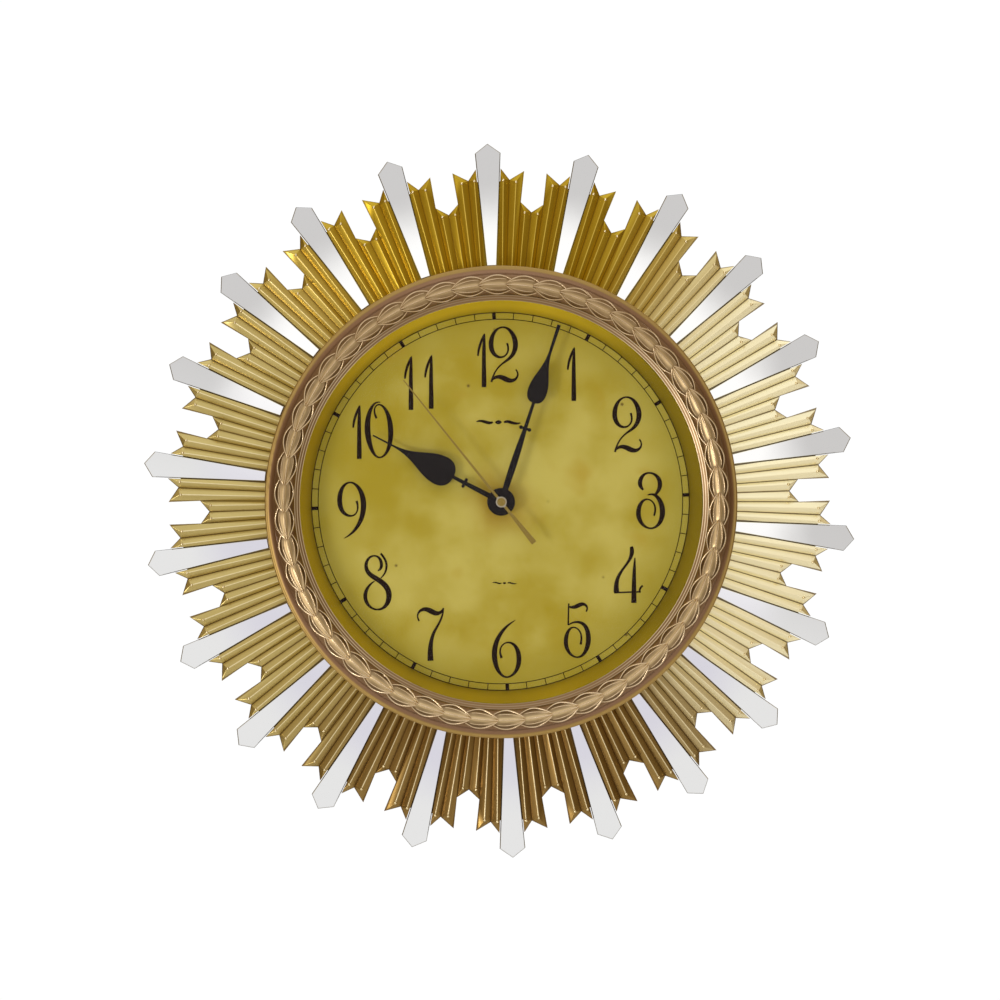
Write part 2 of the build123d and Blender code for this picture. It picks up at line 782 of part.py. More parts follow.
with BuildPart() as middle_plate:
    with BuildSketch(FRONT.offset(middle_plate_back)):
        with Locations((0, (plate_top + partition_top + case_fit) / 2)):
            Rectangle(2 * plate_half_width, plate_top - partition_top - case_fit)
        with Locations(main_axis):
            Circle(seconds_arbor_radius + arbor_hole_room, mode=Mode.SUBTRACT)
        with Locations(third_axis):
            Circle(tip_radius_of(third_pinion_teeth, centre_module) + pinion_hole_room, mode=Mode.SUBTRACT)
        with Locations(intermediate_axis, rotor_axis):
            Circle(train_arbor_radius + running_fit, mode=Mode.SUBTRACT)
        with Locations(setting_axis):
            Circle(tip_radius_of(setting_pinion_teeth, motion_module) + pinion_hole_room, mode=Mode.SUBTRACT)
        with Locations(*plate_post_points):
            Circle(plate_pin_radius + thread_clearance, mode=Mode.SUBTRACT)
    extrude(amount=middle_plate_thickness)
finish(middle_plate, "middle_plate")

with BuildPart() as rubber_washer:
    round_bar(main_axis, washer_radius, case_front, dial_plate_back)
    round_bar(main_axis, bush_radius + bush_hole_clearance, case_front, dial_plate_back, Mode.SUBTRACT)
finish(rubber_washer, "rubber_washer")

with BuildPart() as flat_washer:
    round_bar(main_axis, flat_washer_radius, card_front, washer_front)
    round_bar(main_axis, bush_radius + thread_clearance, card_front, washer_front, Mode.SUBTRACT)
finish(flat_washer, "flat_washer")

with BuildPart() as mounting_nut:
    with BuildSketch(FRONT.offset(washer_front)):
        RegularPolygon(nut_across_flats / 2, 6, major_radius=False)
        Circle(bush_radius + thread_clearance, mode=Mode.SUBTRACT)
    extrude(amount=nut_thickness)
finish(mounting_nut, "mounting_nut")

# ================= motor =================
with BuildPart() as stator:
    bar_bottom = rotor_axis[1] - magnet_radius - rotor_air_gap - stator_rim
    bar_top = rotor_axis[1] + magnet_radius + rotor_air_gap + stator_bar_room
    leg_top = coil_height + core_height / 2 + stator_leg_overhang
    with BuildSketch(FRONT.offset(stator_back)):
        with BuildLine():
            Polyline(
                (stator_left, bar_bottom), (stator_right, bar_bottom), (stator_right, leg_top),
                (stator_right - stator_leg, leg_top), (stator_right - stator_leg, bar_top),
                (stator_left + stator_leg, bar_top), (stator_left + stator_leg, leg_top),
                (stator_left, leg_top), close=True,
            )
        make_face()
        with Locations(rotor_axis):
            Circle(magnet_radius + rotor_air_gap, mode=Mode.SUBTRACT)
        with Locations(*stator_screws_at):
            Circle(stator_screw_radius + thread_clearance, mode=Mode.SUBTRACT)
    extrude(amount=stator_thickness)
finish(stator, "stator")

coil_left = stator_left + stator_leg + coil_room
coil_right = stator_right - stator_leg - coil_room
coil_middle = (coil_left + coil_right) / 2
coil_length = coil_right - coil_left

with BuildPart() as coil_core:
    with BuildSketch(FRONT.offset(core_back)):
        with Locations((coil_middle, coil_height)):
            Rectangle(stator_right - stator_left, core_height)
        with Locations(*stator_screws_at):
            Rectangle(stator_leg, core_height + 2 * stator_leg_overhang)
            Circle(stator_screw_radius + thread_clearance, mode=Mode.SUBTRACT)
    extrude(amount=core_thickness)
finish(coil_core, "coil_core")

coil_plane = Plane(origin=(coil_left, -coil_depth, coil_height), x_dir=(0, 0, 1), z_dir=(1, 0, 0))
barrel_radius = math.hypot(core_height / 2, core_thickness / 2) + bobbin_wall + bobbin_core_room

with BuildPart() as coil_bobbin:
    with BuildSketch(coil_plane):
        Circle(winding_radius + bobbin_flange_rim)
    extrude(amount=bobbin_flange)
    with BuildSketch(coil_plane.offset(coil_length - bobbin_flange)):
        Circle(winding_radius + bobbin_flange_rim)
    extrude(amount=bobbin_flange)
    with BuildSketch(coil_plane):
        Circle(barrel_radius)
    extrude(amount=coil_length)
    with BuildSketch(coil_plane):
        Rectangle(core_height + 2 * bobbin_core_room, core_thickness + 2 * bobbin_core_room)
    extrude(amount=coil_length, mode=Mode.SUBTRACT)
finish(coil_bobbin, "coil_bobbin")

with BuildPart() as coil_winding:
    with BuildSketch(coil_plane.offset(bobbin_flange)):
        Circle(winding_radius)
        Circle(barrel_radius, mode=Mode.SUBTRACT)
    extrude(amount=coil_length - 2 * bobbin_flange)
finish(coil_winding, "coil_winding")

with BuildPart() as stator_screws:
    for place in stator_screws_at:
        round_bar(place, stator_screw_head_radius, stator_back - stator_screw_head_height, stator_back)
        screw_tip = core_back + core_thickness + stator_screw_reach
        round_bar(place, stator_screw_radius, stator_back, screw_tip)
finish(stator_screws, "stator_screws")

with BuildPart() as rotor:
    round_bar(rotor_axis, train_arbor_radius, cover_front - pivot_depth, middle_plate_back + arbor_overhang)
    gear(rotor_axis, intermediate_wheel_back - pinion_overhang, wheel_thickness + 2 * pinion_overhang,
         rotor_pinion_teeth, rotor_module, 0.0)
    magnet_back = stator_back + stator_thickness / 2 - magnet_length / 2
    round_bar(rotor_axis, magnet_radius, magnet_back, magnet_back + magnet_length)
finish(rotor, "rotor")

# ================= going train =================
with BuildPart() as intermediate_wheel:
    round_bar(intermediate_axis, train_arbor_radius, cover_front - pivot_depth,
              middle_plate_back + arbor_overhang)
    gear(intermediate_axis, intermediate_wheel_back, wheel_thickness,
         intermediate_wheel_teeth, rotor_module, intermediate_phase)
    gear(intermediate_axis, intermediate_wheel_back + wheel_thickness,
         seconds_wheel_back + pinion_overhang - intermediate_wheel_back,
         intermediate_pinion_teeth, intermediate_module, 0.0)
finish(intermediate_wheel, "intermediate_wheel")

with BuildPart() as seconds_wheel:
    round_bar(main_axis, seconds_arbor_radius, cover_front - pivot_depth,
              second_cap_front - second_cap_roof - second_cap_room)
    gear(main_axis, seconds_wheel_back, wheel_thickness,
         seconds_wheel_teeth, intermediate_module, seconds_phase)
    gear(main_axis, seconds_wheel_back + wheel_thickness,
         third_wheel_back + pinion_overhang - seconds_wheel_back,
         seconds_pinion_teeth, third_module, 0.0)
finish(seconds_wheel, "seconds_wheel")

with BuildPart() as third_wheel:
    round_bar(third_axis, train_arbor_radius, cover_front - pivot_depth, case_inner_front + pivot_depth)
    gear(third_axis, third_wheel_back, wheel_thickness, third_wheel_teeth, third_module, third_phase)
    gear(third_axis, middle_plate_back,
         centre_wheel_back + wheel_thickness + pinion_overhang - middle_plate_back,
         third_pinion_teeth, centre_module, 0.0)
finish(third_wheel, "third_wheel")

with BuildPart() as centre_wheel:
    gear(main_axis, centre_wheel_back, wheel_thickness, centre_wheel_teeth, centre_module, centre_phase)
    gear(main_axis, centre_wheel_back + wheel_thickness,
         minute_wheel_back + pinion_overhang - centre_wheel_back,
         cannon_pinion_teeth, motion_module, 0.0)
    pipe_back = centre_wheel_back - pipe_root_overhang
    pipe_front = minute_hand_front + minute_pipe_overhang
    round_bar(main_axis, minute_pipe_radius, pipe_back, pipe_front)
    round_bar(main_axis, minute_pipe_bore, pipe_back, pipe_front, Mode.SUBTRACT)
finish(centre_wheel, "centre_wheel")

with BuildPart() as minute_wheel:
    gear(motion_axis, minute_wheel_back, wheel_thickness, minute_wheel_teeth, motion_module, minute_phase)
    gear(motion_axis, minute_wheel_back + wheel_thickness,
         hour_wheel_front + pinion_overhang - minute_wheel_back - wheel_thickness,
         minute_pinion_teeth, hour_module, 0.0)
    round_bar(motion_axis, motion_stud_radius + running_fit, minute_wheel_back,
              hour_wheel_front + pinion_overhang, Mode.SUBTRACT)
finish(minute_wheel, "minute_wheel")

with BuildPart() as hour_wheel:
    pipe_back = hour_wheel_back - hour_pipe_root_overhang
    pipe_front = hour_hand_front + hour_pipe_overhang
    gear(main_axis, hour_wheel_back, hour_wheel_thickness, hour_wheel_teeth, hour_module, hour_phase)
    round_bar(main_axis, hour_pipe_radius + hour_collar_wall, hour_wheel_front,
              case_inner_front - pivot_room)
    round_bar(main_axis, hour_pipe_radius, pipe_back, pipe_front)
    round_bar(main_axis, hour_pipe_bore, pipe_back, pipe_front, Mode.SUBTRACT)
finish(hour_wheel, "hour_wheel")

with BuildPart() as setting_knob:
    knob_back = case_back - knob_setback
    with BuildSketch(FRONT.offset(knob_back)):
        with Locations(setting_axis):
            Circle(knob_radius)
        with Locations(Location((setting_axis[0], setting_axis[1], 0))):
            with PolarLocations(knob_flute_circle, knob_flutes):
                Circle(knob_flute_radius, mode=Mode.SUBTRACT)
    extrude(amount=knob_height)
    round_bar(setting_axis, setting_arbor_radius, knob_back + knob_height, case_inner_front + pivot_depth)
    gear(setting_axis, minute_wheel_back - pinion_overhang, wheel_thickness + 2 * pinion_overhang,
         setting_pinion_teeth, motion_module, setting_phase)
finish(setting_knob, "setting_knob")

# ================= board, contacts and cell =================
board_left = stator_right + board_side_gap
board_bottom = plate_top + board_top_gap
board_front = board_back + board_thickness

with BuildPart() as circuit_board:
    with BuildSketch(FRONT.offset(board_back)):
        with Locations((board_left, board_bottom)):
            Rectangle(board_width, board_height, align=(Align.MIN, Align.MIN))
    extrude(amount=board_thickness)
    chip_centre = (board_left + chip_inset[0], board_bottom + chip_inset[1])
    round_bar(chip_centre, chip_radius, board_front, board_front + chip_height)
    fillet(circuit_board.faces().sort_by(Axis.Y)[0].edges(), chip_rounding)
finish(circuit_board, "circuit_board")

with BuildPart() as quartz_crystal:
    crystal_origin = (
        board_left + crystal_inset[0], -board_front - crystal_radius, board_bottom + crystal_inset[1],
    )
    with BuildSketch(Plane(origin=crystal_origin, x_dir=(0, 0, 1), z_dir=(1, 0, 0))):
        Circle(crystal_radius)
    extrude(amount=crystal_length)
    fillet(quartz_crystal.faces().sort_by(Axis.X)[-1].edges(), crystal_rounding)
finish(quartz_crystal, "quartz_crystal")

cell_end = cell_length / 2
contact_back = cell_depth - contact_half_width

with BuildPart() as positive_contact:
    with BuildSketch(FRONT.offset(contact_back)):
        with Locations((cell_end + contact_gap, cell_height)):
            Rectangle(contact_thickness, positive_contact_height, align=(Align.MIN, Align.CENTER))
    extrude(amount=2 * contact_half_width)
finish(positive_contact, "positive_contact")

with BuildPart() as negative_contact:
    leaf_back = -inner_half_width + contact_gap
    leaf_reach = -cell_end - contact_gap
    with BuildSketch(FRONT.offset(contact_back)):
        with Locations((leaf_back, cell_height)):
            Rectangle(contact_thickness, negative_contact_height, align=(Align.MIN, Align.CENTER))
        with BuildLine():
            leaf_root = leaf_back + contact_thickness
            inner_half = contact_bow_half - contact_bow_wall
            bow_top = (leaf_root, cell_height + contact_bow_half)
            bow_bottom = (leaf_root, cell_height - contact_bow_half)
            inner_top_end = (leaf_root, cell_height + inner_half)
            inner_bottom_end = (leaf_root, cell_height - inner_half)
            ThreePointArc(bow_top, (leaf_reach, cell_height), bow_bottom)
            Line(bow_bottom, inner_bottom_end)
            ThreePointArc(inner_bottom_end, (leaf_reach - contact_thickness, cell_height), inner_top_end)
            Line(inner_top_end, bow_top)
        make_face()
    extrude(amount=2 * contact_half_width)
finish(negative_contact, "negative_contact")

with BuildPart() as aa_cell:
    cell_plane = Plane(origin=(-cell_end, -cell_depth, cell_height), x_dir=(0, 0, 1), z_dir=(1, 0, 0))
    with BuildSketch(cell_plane):
        Circle(cell_radius)
    extrude(amount=cell_length - cell_nub_length)
    fillet(aa_cell.edges().filter_by(GeomType.CIRCLE), cell_rounding)
    with BuildSketch(cell_plane.offset(cell_length - cell_nub_length)):
        Circle(cell_nub_radius)
    extrude(amount=cell_nub_length)
finish(aa_cell, "aa_cell")


# ================= hands =================
hour_length = window_radius - hour_tip_setback
minute_length = window_radius - minute_tip_setback
second_length = window_radius - second_tip_setback


def spade_hand(back, angle, length, pipe_hole, boss_radius, boss_length, shaft, collar, spade):
    """A stamped hand: hub disc, swelling shaft, collar with two knobs, teardrop spade and stem."""
    root_half, middle_half, end_half = shaft
    collar_share, knob_offset, collar_knob_radius, collar_half = collar
    base_share, widest_share, widest_half, taper_share, stem_half, tip_half = spade
    collar_at = collar_share * length
    base_at = base_share * length
    shaft_end = base_at + spade_overlap
    shaft_end_half = spade_neck_share * end_half
    with BuildPart() as hand:
        with BuildSketch(front_at(back, angle)):
            Circle(hub_radius)
            with BuildLine():
                Line((0, 0), (root_half, 0))
                Spline((root_half, 0), (middle_half, collar_at * shaft_middle_share), (end_half, collar_at))
                Line((end_half, collar_at), (shaft_end_half, shaft_end))
                Line((shaft_end_half, shaft_end), (0, shaft_end))
                mirror(about=Plane.YZ)
            make_face()
            with Locations((0, collar_at)):
                Rectangle(2 * knob_offset, 2 * collar_half)
            with Locations((-knob_offset, collar_at), (knob_offset, collar_at)):
                Circle(collar_knob_radius)
            with BuildLine():
                Spline(
                    (0, base_at), (widest_half, widest_share * length), (stem_half, taper_share * length),
                    tangents=((1, 0), (0, 1), (0, 1)),
                    tangent_scalars=(spade_base_pull, 1.0, spade_taper_pull),
                )
                Line((stem_half, taper_share * length), (tip_half, length))
                Line((tip_half, length), (0, length))
                mirror(about=Plane.YZ)
            make_face()
        extrude(amount=hand_thickness)
        round_bar(main_axis, boss_radius, back - boss_length, back)
        round_bar(main_axis, pipe_hole, back - boss_length, back + hand_thickness, Mode.SUBTRACT)
    return hand


hour_hand = spade_hand(
    hour_hand_back, hour_angle, hour_length, hour_pipe_radius + press_clearance,
    hour_pipe_radius + hour_boss_wall, hour_boss_length, hour_shaft, hour_collar, hour_spade,
)
finish(hour_hand, "hour_hand")

minute_hand = spade_hand(
    minute_hand_back, minute_angle, minute_length, minute_pipe_radius + press_clearance,
    minute_pipe_radius + minute_boss_wall, minute_boss_length, minute_shaft, minute_collar, minute_spade,
)
finish(minute_hand, "minute_hand")

with BuildPart() as second_hand:
    with BuildSketch(front_at(second_hand_back, second_angle)):
        tail_waist = -second_tail * second_tail_waist
        Polygon(
            (-second_root_half, tail_waist), (-second_tail_half, -second_tail),
            (second_tail_half, -second_tail), (second_root_half, tail_waist),
            (second_tip_half, second_length), (-second_tip_half, second_length), align=None,
        )
    extrude(amount=second_hand_thickness)
    round_bar(main_axis, second_cap_radius, second_hand_back, second_cap_front)
    fillet(second_hand.faces().sort_by(Axis.Y)[0].edges(), second_cap_rounding)
    boss_back = second_hand_back - second_boss_length
    round_bar(main_axis, seconds_arbor_radius + second_boss_wall, boss_back, second_hand_back)
    round_bar(main_axis, seconds_arbor_radius + press_clearance, boss_back,
              second_cap_front - second_cap_roof, Mode.SUBTRACT)
finish(second_hand, "second_hand")

# ================= back cover, hanger and screws =================
hanger_height = cover_wall_radius - hanger_setback
hanger_screws_at = [(side * hanger_screw_spacing / 2, hanger_height) for side in (-1, 1)]
keyhole_plane = FRONT.offset(cover_plate_back)
bay_half_width = case_half_width + bay_side_room
bay_height = case_top - case_bottom + 2 * bay_side_room

with BuildPart() as back_cover:
    with BuildSketch(SECTION):
        wall_inner = cover_wall_radius - cover_wall
        rib_outer = disc_radius - clamp_rib_setback
        rib_inner = rib_outer - clamp_rib_width
        plate_top_face = cover_plate_back + cover_plate_thickness
        Polygon(
            (0, cover_plate_back), (wall_inner, cover_plate_back), (wall_inner, 0), (cover_wall_radius, 0),
            (cover_wall_radius, frame_back - cover_flange_thickness),
            (cover_radius, frame_back - cover_flange_thickness), (cover_radius, frame_back),
            (rib_outer, frame_back), (rib_outer, dial_plate_back), (rib_inner, dial_plate_back),
            (rib_inner, frame_back), (wall_inner, frame_back), (wall_inner, plate_top_face),
            (0, plate_top_face), align=None,
        )
    revolve(axis=Axis.Y)
    with BuildSketch(keyhole_plane):
        with Locations((0, case_middle)):
            RectangleRounded(2 * bay_half_width, bay_height, bay_corner)
        with Locations((0, hanger_height + keyhole_slot_length / 2)):
            Rectangle(2 * (keyhole_head_radius + keyhole_room),
                      keyhole_slot_length + 2 * (keyhole_head_radius + keyhole_room))
        with Locations(*hanger_screws_at):
            Circle(hanger_screw_radius + thread_clearance)
    extrude(amount=cover_plate_thickness, mode=Mode.SUBTRACT)
    with BuildSketch(FRONT.offset(frame_back - cover_flange_thickness)):
        with PolarLocations(screw_circle, case_screw_count):
            Circle(case_screw_radius + screw_clearance)
    extrude(amount=cover_flange_thickness, mode=Mode.SUBTRACT)
finish(back_cover, "back_cover")

with BuildPart() as hanger_plate:
    with BuildSketch(FRONT.offset(cover_plate_back - hanger_thickness)):
        with Locations((0, hanger_height + keyhole_slot_length / 4)):
            RectangleRounded(2 * hanger_half_width, 2 * hanger_half_height, hanger_corner)
        with Locations((0, hanger_height)):
            Circle(keyhole_head_radius, mode=Mode.SUBTRACT)
        with Locations((0, hanger_height + keyhole_slot_length)):
            Circle(keyhole_slot_radius, mode=Mode.SUBTRACT)
        with Locations((0, hanger_height + keyhole_slot_length / 2)):
            Rectangle(2 * keyhole_slot_radius, keyhole_slot_length, mode=Mode.SUBTRACT)
        with Locations(*hanger_screws_at):
            Circle(hanger_screw_radius + thread_clearance, mode=Mode.SUBTRACT)
    extrude(amount=hanger_thickness)
finish(hanger_plate, "hanger_plate")

with BuildPart() as hanger_screws:
    head_face = cover_plate_back - hanger_thickness
    screw_tip = cover_plate_back + cover_plate_thickness + hanger_screw_reach
    for place in hanger_screws_at:
        round_bar(place, hanger_screw_head_radius, head_face - hanger_screw_head_height, head_face)
        round_bar(place, hanger_screw_radius, head_face, screw_tip)
finish(hanger_screws, "hanger_screws")

with BuildPart() as case_screws:
    flange_back = frame_back - cover_flange_thickness
    with BuildSketch(FRONT.offset(flange_back - case_screw_head_height)):
        with PolarLocations(screw_circle, case_screw_count):
            Circle(case_screw_head_radius)
    extrude(amount=case_screw_head_height)
    with BuildSketch(FRONT.offset(flange_back)):
        with PolarLocations(screw_circle, case_screw_count):
            Circle(case_screw_radius)
    extrude(amount=floor_front + case_screw_reach - flange_back)
finish(case_screws, "case_screws")
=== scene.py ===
# %% [markdown]
# # A sunburst wall clock
# This notebook dresses a finished clockwork in its visible surfaces. The case, the hands and the wheels come
# ready from the CAD model, so this script paints them and makes the pieces that need a carver's or a
# penman's hand: the pleated gold fans, the leaf garland on the bezel and the numerals on the dial.
# The clock's axis is Y, the dial looks towards -Y, Z is up and the wall is the plane y = 0.

# %% Load the clock
import bpy
import bmesh
import json
import math
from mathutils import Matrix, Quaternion, Vector


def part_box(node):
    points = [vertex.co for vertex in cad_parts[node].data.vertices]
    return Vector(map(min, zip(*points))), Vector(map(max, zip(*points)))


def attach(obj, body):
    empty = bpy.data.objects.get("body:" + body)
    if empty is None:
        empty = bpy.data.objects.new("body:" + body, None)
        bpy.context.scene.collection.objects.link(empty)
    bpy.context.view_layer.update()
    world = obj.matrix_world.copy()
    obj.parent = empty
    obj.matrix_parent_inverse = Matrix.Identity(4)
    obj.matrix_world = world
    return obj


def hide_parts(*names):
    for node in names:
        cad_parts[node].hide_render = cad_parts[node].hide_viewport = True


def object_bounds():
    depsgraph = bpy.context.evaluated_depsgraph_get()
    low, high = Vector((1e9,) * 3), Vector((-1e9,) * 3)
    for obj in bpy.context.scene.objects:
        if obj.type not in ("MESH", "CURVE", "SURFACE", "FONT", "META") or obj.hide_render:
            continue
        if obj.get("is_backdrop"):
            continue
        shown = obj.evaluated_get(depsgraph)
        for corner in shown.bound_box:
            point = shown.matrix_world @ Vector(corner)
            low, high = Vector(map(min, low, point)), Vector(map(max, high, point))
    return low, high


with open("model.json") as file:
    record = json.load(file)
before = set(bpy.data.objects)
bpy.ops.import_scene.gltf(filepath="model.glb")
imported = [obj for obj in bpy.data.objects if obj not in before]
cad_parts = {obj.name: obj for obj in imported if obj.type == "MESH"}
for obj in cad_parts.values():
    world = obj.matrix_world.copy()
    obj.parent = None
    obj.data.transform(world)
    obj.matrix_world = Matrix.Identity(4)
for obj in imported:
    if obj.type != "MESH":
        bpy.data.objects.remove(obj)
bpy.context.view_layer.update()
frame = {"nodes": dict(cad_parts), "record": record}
MM = 0.001

# %% [markdown]
# ## Depths and radii that the pieces share
# A box around a CAD node says how far it reaches. The bezel's box gives the front of the clock and its outer
# radius, and the card's box gives the paper's face. Anything that can be read this way isn't typed again. The
# leaf band's middle line, half its width and its height are the three sizes that no box tells.

# %% Read the main sizes
bezel_low, bezel_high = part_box("bezel_ring")
card_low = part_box("dial_card")[0]
ray_low, ray_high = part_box("mirror_ray_01")
clock_front = -bezel_low.y
bezel_radius = bezel_high.x
paper_front = -card_low.y
sunburst_front = -ray_low.y
tip_radius = ray_high.z
BAND_INSET = 12.3 * MM
BAND_HALF = 6.6 * MM
BAND_HEIGHT = 5.5 * MM
garland_radius = bezel_radius - BAND_INSET
print("front", round(clock_front, 4), "bezel radius", round(bezel_radius, 4), "tips", round(tip_radius, 4))

# %% [markdown]
# ## Shader sums as plain sums
# A procedural material is arithmetic on numbers that change over a surface. Blender draws each step as a
# node. `Wire` holds one node's output and knows how to add, subtract, multiply and divide, so that
# `1 - rub * 0.5` builds its Math nodes by itself. Colours never pass through Math nodes, which would turn
# them grey: `Finish.blend` mixes those.

# %% A wire and a finish
class Wire:
    """A number that changes over a surface. Sums on it add Math nodes."""

    def __init__(self, tree, socket):
        self.tree = tree
        self.socket = socket

    def step(self, operation, first, second=0.0):
        made = self.tree.nodes.new("ShaderNodeMath")
        made.operation = operation
        for place, value in enumerate((first, second)):
            plug(self.tree, made.inputs[place], value)
        return Wire(self.tree, made.outputs[0])

    def __add__(self, other):
        return self.step("ADD", self, other)

    def __sub__(self, other):
        return self.step("SUBTRACT", self, other)

    def __rsub__(self, other):
        return self.step("SUBTRACT", other, self)

    def __mul__(self, other):
        return self.step("MULTIPLY", self, other)

    def __truediv__(self, other):
        return self.step("DIVIDE", self, other)

    def __pow__(self, other):
        return self.step("POWER", self, other)

    __radd__ = __add__
    __rmul__ = __mul__


def plug(tree, socket, value):
    """Links a wire to a socket, or sets the socket's own value."""
    if isinstance(value, Wire):
        tree.links.new(value.socket, socket)
    elif isinstance(value, tuple) and len(value) == 3 and socket.type == "RGBA":
        socket.default_value = (*value, 1.0)
    else:
        socket.default_value = value


class Finish:
    """A material with one Principled shader. Plain values are set on the shader itself."""

    def __init__(self, name, **plain):
        self.material = bpy.data.materials.new(name)
        self.material.use_nodes = True
        self.tree = self.material.node_tree
        self.shader = self.tree.nodes["Principled BSDF"]
        for socket, value in plain.items():
            self.set(socket.replace("_", " "), value)
        self.place = self.node("TexCoord", output="Object")

    def set(self, socket, value):
        plug(self.tree, self.shader.inputs[socket], value)

    def node(self, kind, settings=None, sockets=None, output=0):
        made = self.tree.nodes.new("ShaderNode" + kind)
        for key, value in (settings or {}).items():
            setattr(made, key, value)
        for key, value in (sockets or {}).items():
            plug(self.tree, made.inputs[key], value)
        return Wire(self.tree, made.outputs[output])

    def grain(self, scale, detail=3.0, where=None):
        """Cloudy noise from 0 to 1, with a number of waves per metre."""
        sockets = {"Vector": where or self.place, "Scale": scale, "Detail": detail}
        return self.node("TexNoise", sockets=sockets, output="Fac")

    def ramp(self, value, low, high, start=0.0, end=1.0):
        """Turns the stretch of a value from low to high into one from start to end, and stops there."""
        sockets = {"Value": value, "From Min": low, "From Max": high, "To Min": start, "To Max": end}
        return self.node("MapRange", {"interpolation_type": "SMOOTHSTEP"}, sockets)

    def blend(self, share, first, second, how="MIX"):
        """Mixes two colours."""
        made = self.tree.nodes.new("ShaderNodeMix")
        made.data_type = "RGBA"
        made.blend_type = how
        plug(self.tree, made.inputs[0], share)
        plug(self.tree, made.inputs[6], first)
        plug(self.tree, made.inputs[7], second)
        return Wire(self.tree, made.outputs[2])

    def parts_of_place(self):
        """The X, Y and Z of the point being shaded, in metres."""
        split = self.tree.nodes.new("ShaderNodeSeparateXYZ")
        self.tree.links.new(self.place.socket, split.inputs[0])
        return [Wire(self.tree, split.outputs[n]) for n in range(3)]

    def radius(self):
        """The distance from the clock's axis, in metres."""
        x, _, z = self.parts_of_place()
        return (x * x + z * z) ** 0.5

    def depth(self):
        """The distance from the wall, in metres."""
        return self.parts_of_place()[1] * -1.0

    def rightward(self):
        """How far to the right of the axis a point lies, from -1 to 1."""
        return self.parts_of_place()[0] / self.radius()

    def upward(self):
        """How far above the axis a point lies, from -1 to 1."""
        return self.parts_of_place()[2] / self.radius()

    def rough(self, value):
        self.set("Roughness", value)

    def relief(self, height, strength, distance=0.2 * MM):
        """Dents and ridges too small to model, from a height between 0 and 1."""
        sockets = {"Height": height, "Strength": strength, "Distance": distance}
        self.set("Normal", self.node("Bump", sockets=sockets))


# %% [markdown]
# ## Gold paint on the pleated fans
# Such fans are moulded in plastic, sprayed gold and toned: a brown glaze is wiped over and stays in the
# valleys, while the crests are rubbed bright and carry a painted highlight. Each pleat rises from the valley
# floor in proportion to the distance from the axis, so one division says how far up its flank a point sits,
# and that drives both tones. Light and shade are also painted into the gold by side: painted shade makes it
# deep yellow at the top and brown at the bottom, and painted light makes it pale at the right.

# %% Fan gold
VALLEY_DEPTH = 22.5 * MM
RISE_PER_RADIUS = 0.0151


def fan_gold():
    paint = Finish("fan_gold", Metallic=1.0)
    flank = (paint.depth() - VALLEY_DEPTH) / (paint.radius() * RISE_PER_RADIUS)
    clouds = paint.grain(38, 4)
    speckle = paint.grain(900, 2)
    # Painted light and shade by side: pale at the right, deep yellow at the top, brown at the bottom.
    painted_light_right = paint.ramp(paint.rightward(), 0.35, 0.85)
    painted_shade_top = paint.ramp(paint.upward(), 0.55, 0.95)
    painted_shade_bottom = paint.ramp(paint.upward(), -0.60, -0.94)
    glaze = paint.ramp(flank, 0.03, 0.18, 1.0, 0.0) * (0.62 + clouds * 0.4) * (1 - painted_shade_top * 0.45)
    # The crests are rubbed bright and carry a painted highlight, which is dimmer at the top.
    rub_and_highlight = paint.ramp(flank, 0.86, 0.98) * (0.45 + speckle * 0.5)
    left_gold = paint.blend(clouds, (0.50, 0.40, 0.150), (0.62, 0.50, 0.205))
    right_lit_gold = paint.blend(painted_light_right, left_gold, (0.94, 0.86, 0.58))
    top_shaded_gold = paint.blend(painted_shade_top, right_lit_gold, (0.52, 0.355, 0.028))
    gold = paint.blend(painted_shade_bottom, top_shaded_gold, (0.28, 0.175, 0.055))
    toned = paint.blend(glaze, gold, (0.13, 0.07, 0.018))
    crest_rub_and_highlight = paint.blend(painted_shade_top, (0.95, 0.84, 0.56), (0.74, 0.54, 0.12))
    paint.set("Base Color", paint.blend(rub_and_highlight, toned, crest_rub_and_highlight))
    paint.rough(0.27 + speckle * 0.12 + glaze * 0.16)
    paint.relief(speckle, 0.10)
    return paint


def stud_gold():
    paint = Finish("stud_gold", Metallic=1.0)
    speckle = paint.grain(900, 2)
    paint.set("Base Color", paint.blend(speckle, (0.74, 0.58, 0.28), (0.96, 0.86, 0.60)))
    paint.rough(0.16 + speckle * 0.12)
    return paint


# %% [markdown]
# ## Silvered glass
# A mirror strip is sheet glass silvered on its back, with ground edges. The face is nearly perfect metal to
# look at. A reflection of the room is painted into its colour: the strips turn greyer towards their tips,
# and the lower strips are a faint lavender grey. The ground bevel scatters light because its roughness is
# higher: it is found by how far the point lies behind the front face.

# %% Mirror
GROUND_BACK = 0.45 * MM
GROUND_FRONT = 0.05 * MM
REFLECTION_GREY_FROM, REFLECTION_GREY_TO = 172 * MM, 210 * MM


def mirror_glass():
    mirror = Finish("mirror_glass", Metallic=1.0)
    x, _, z = mirror.parts_of_place()
    # Painted reflection: grey towards the tips, lavender grey on the lower strips.
    reflection_wobble = mirror.grain(55, 3)
    tip_reflection_share = mirror.ramp(mirror.radius() + reflection_wobble * 0.010, REFLECTION_GREY_FROM, REFLECTION_GREY_TO)
    upper_reflection_share = mirror.ramp(z + x * 0.35, -70 * MM, 50 * MM)
    ground = mirror.ramp(mirror.depth(), sunburst_front - GROUND_BACK, sunburst_front - GROUND_FRONT, 1.0, 0.0)
    inner_reflection = mirror.blend(upper_reflection_share, (0.66, 0.65, 0.73), (0.98, 0.98, 0.985))
    tip_reflection = mirror.blend(upper_reflection_share, (0.76, 0.765, 0.775), (0.585, 0.58, 0.585))
    silver_and_reflection = mirror.blend(tip_reflection_share, inner_reflection, tip_reflection)
    mirror.set("Base Color", mirror.blend(ground, silver_and_reflection, (0.20, 0.205, 0.22)))
    mirror.rough(0.035 + ground * 0.30)
    return mirror
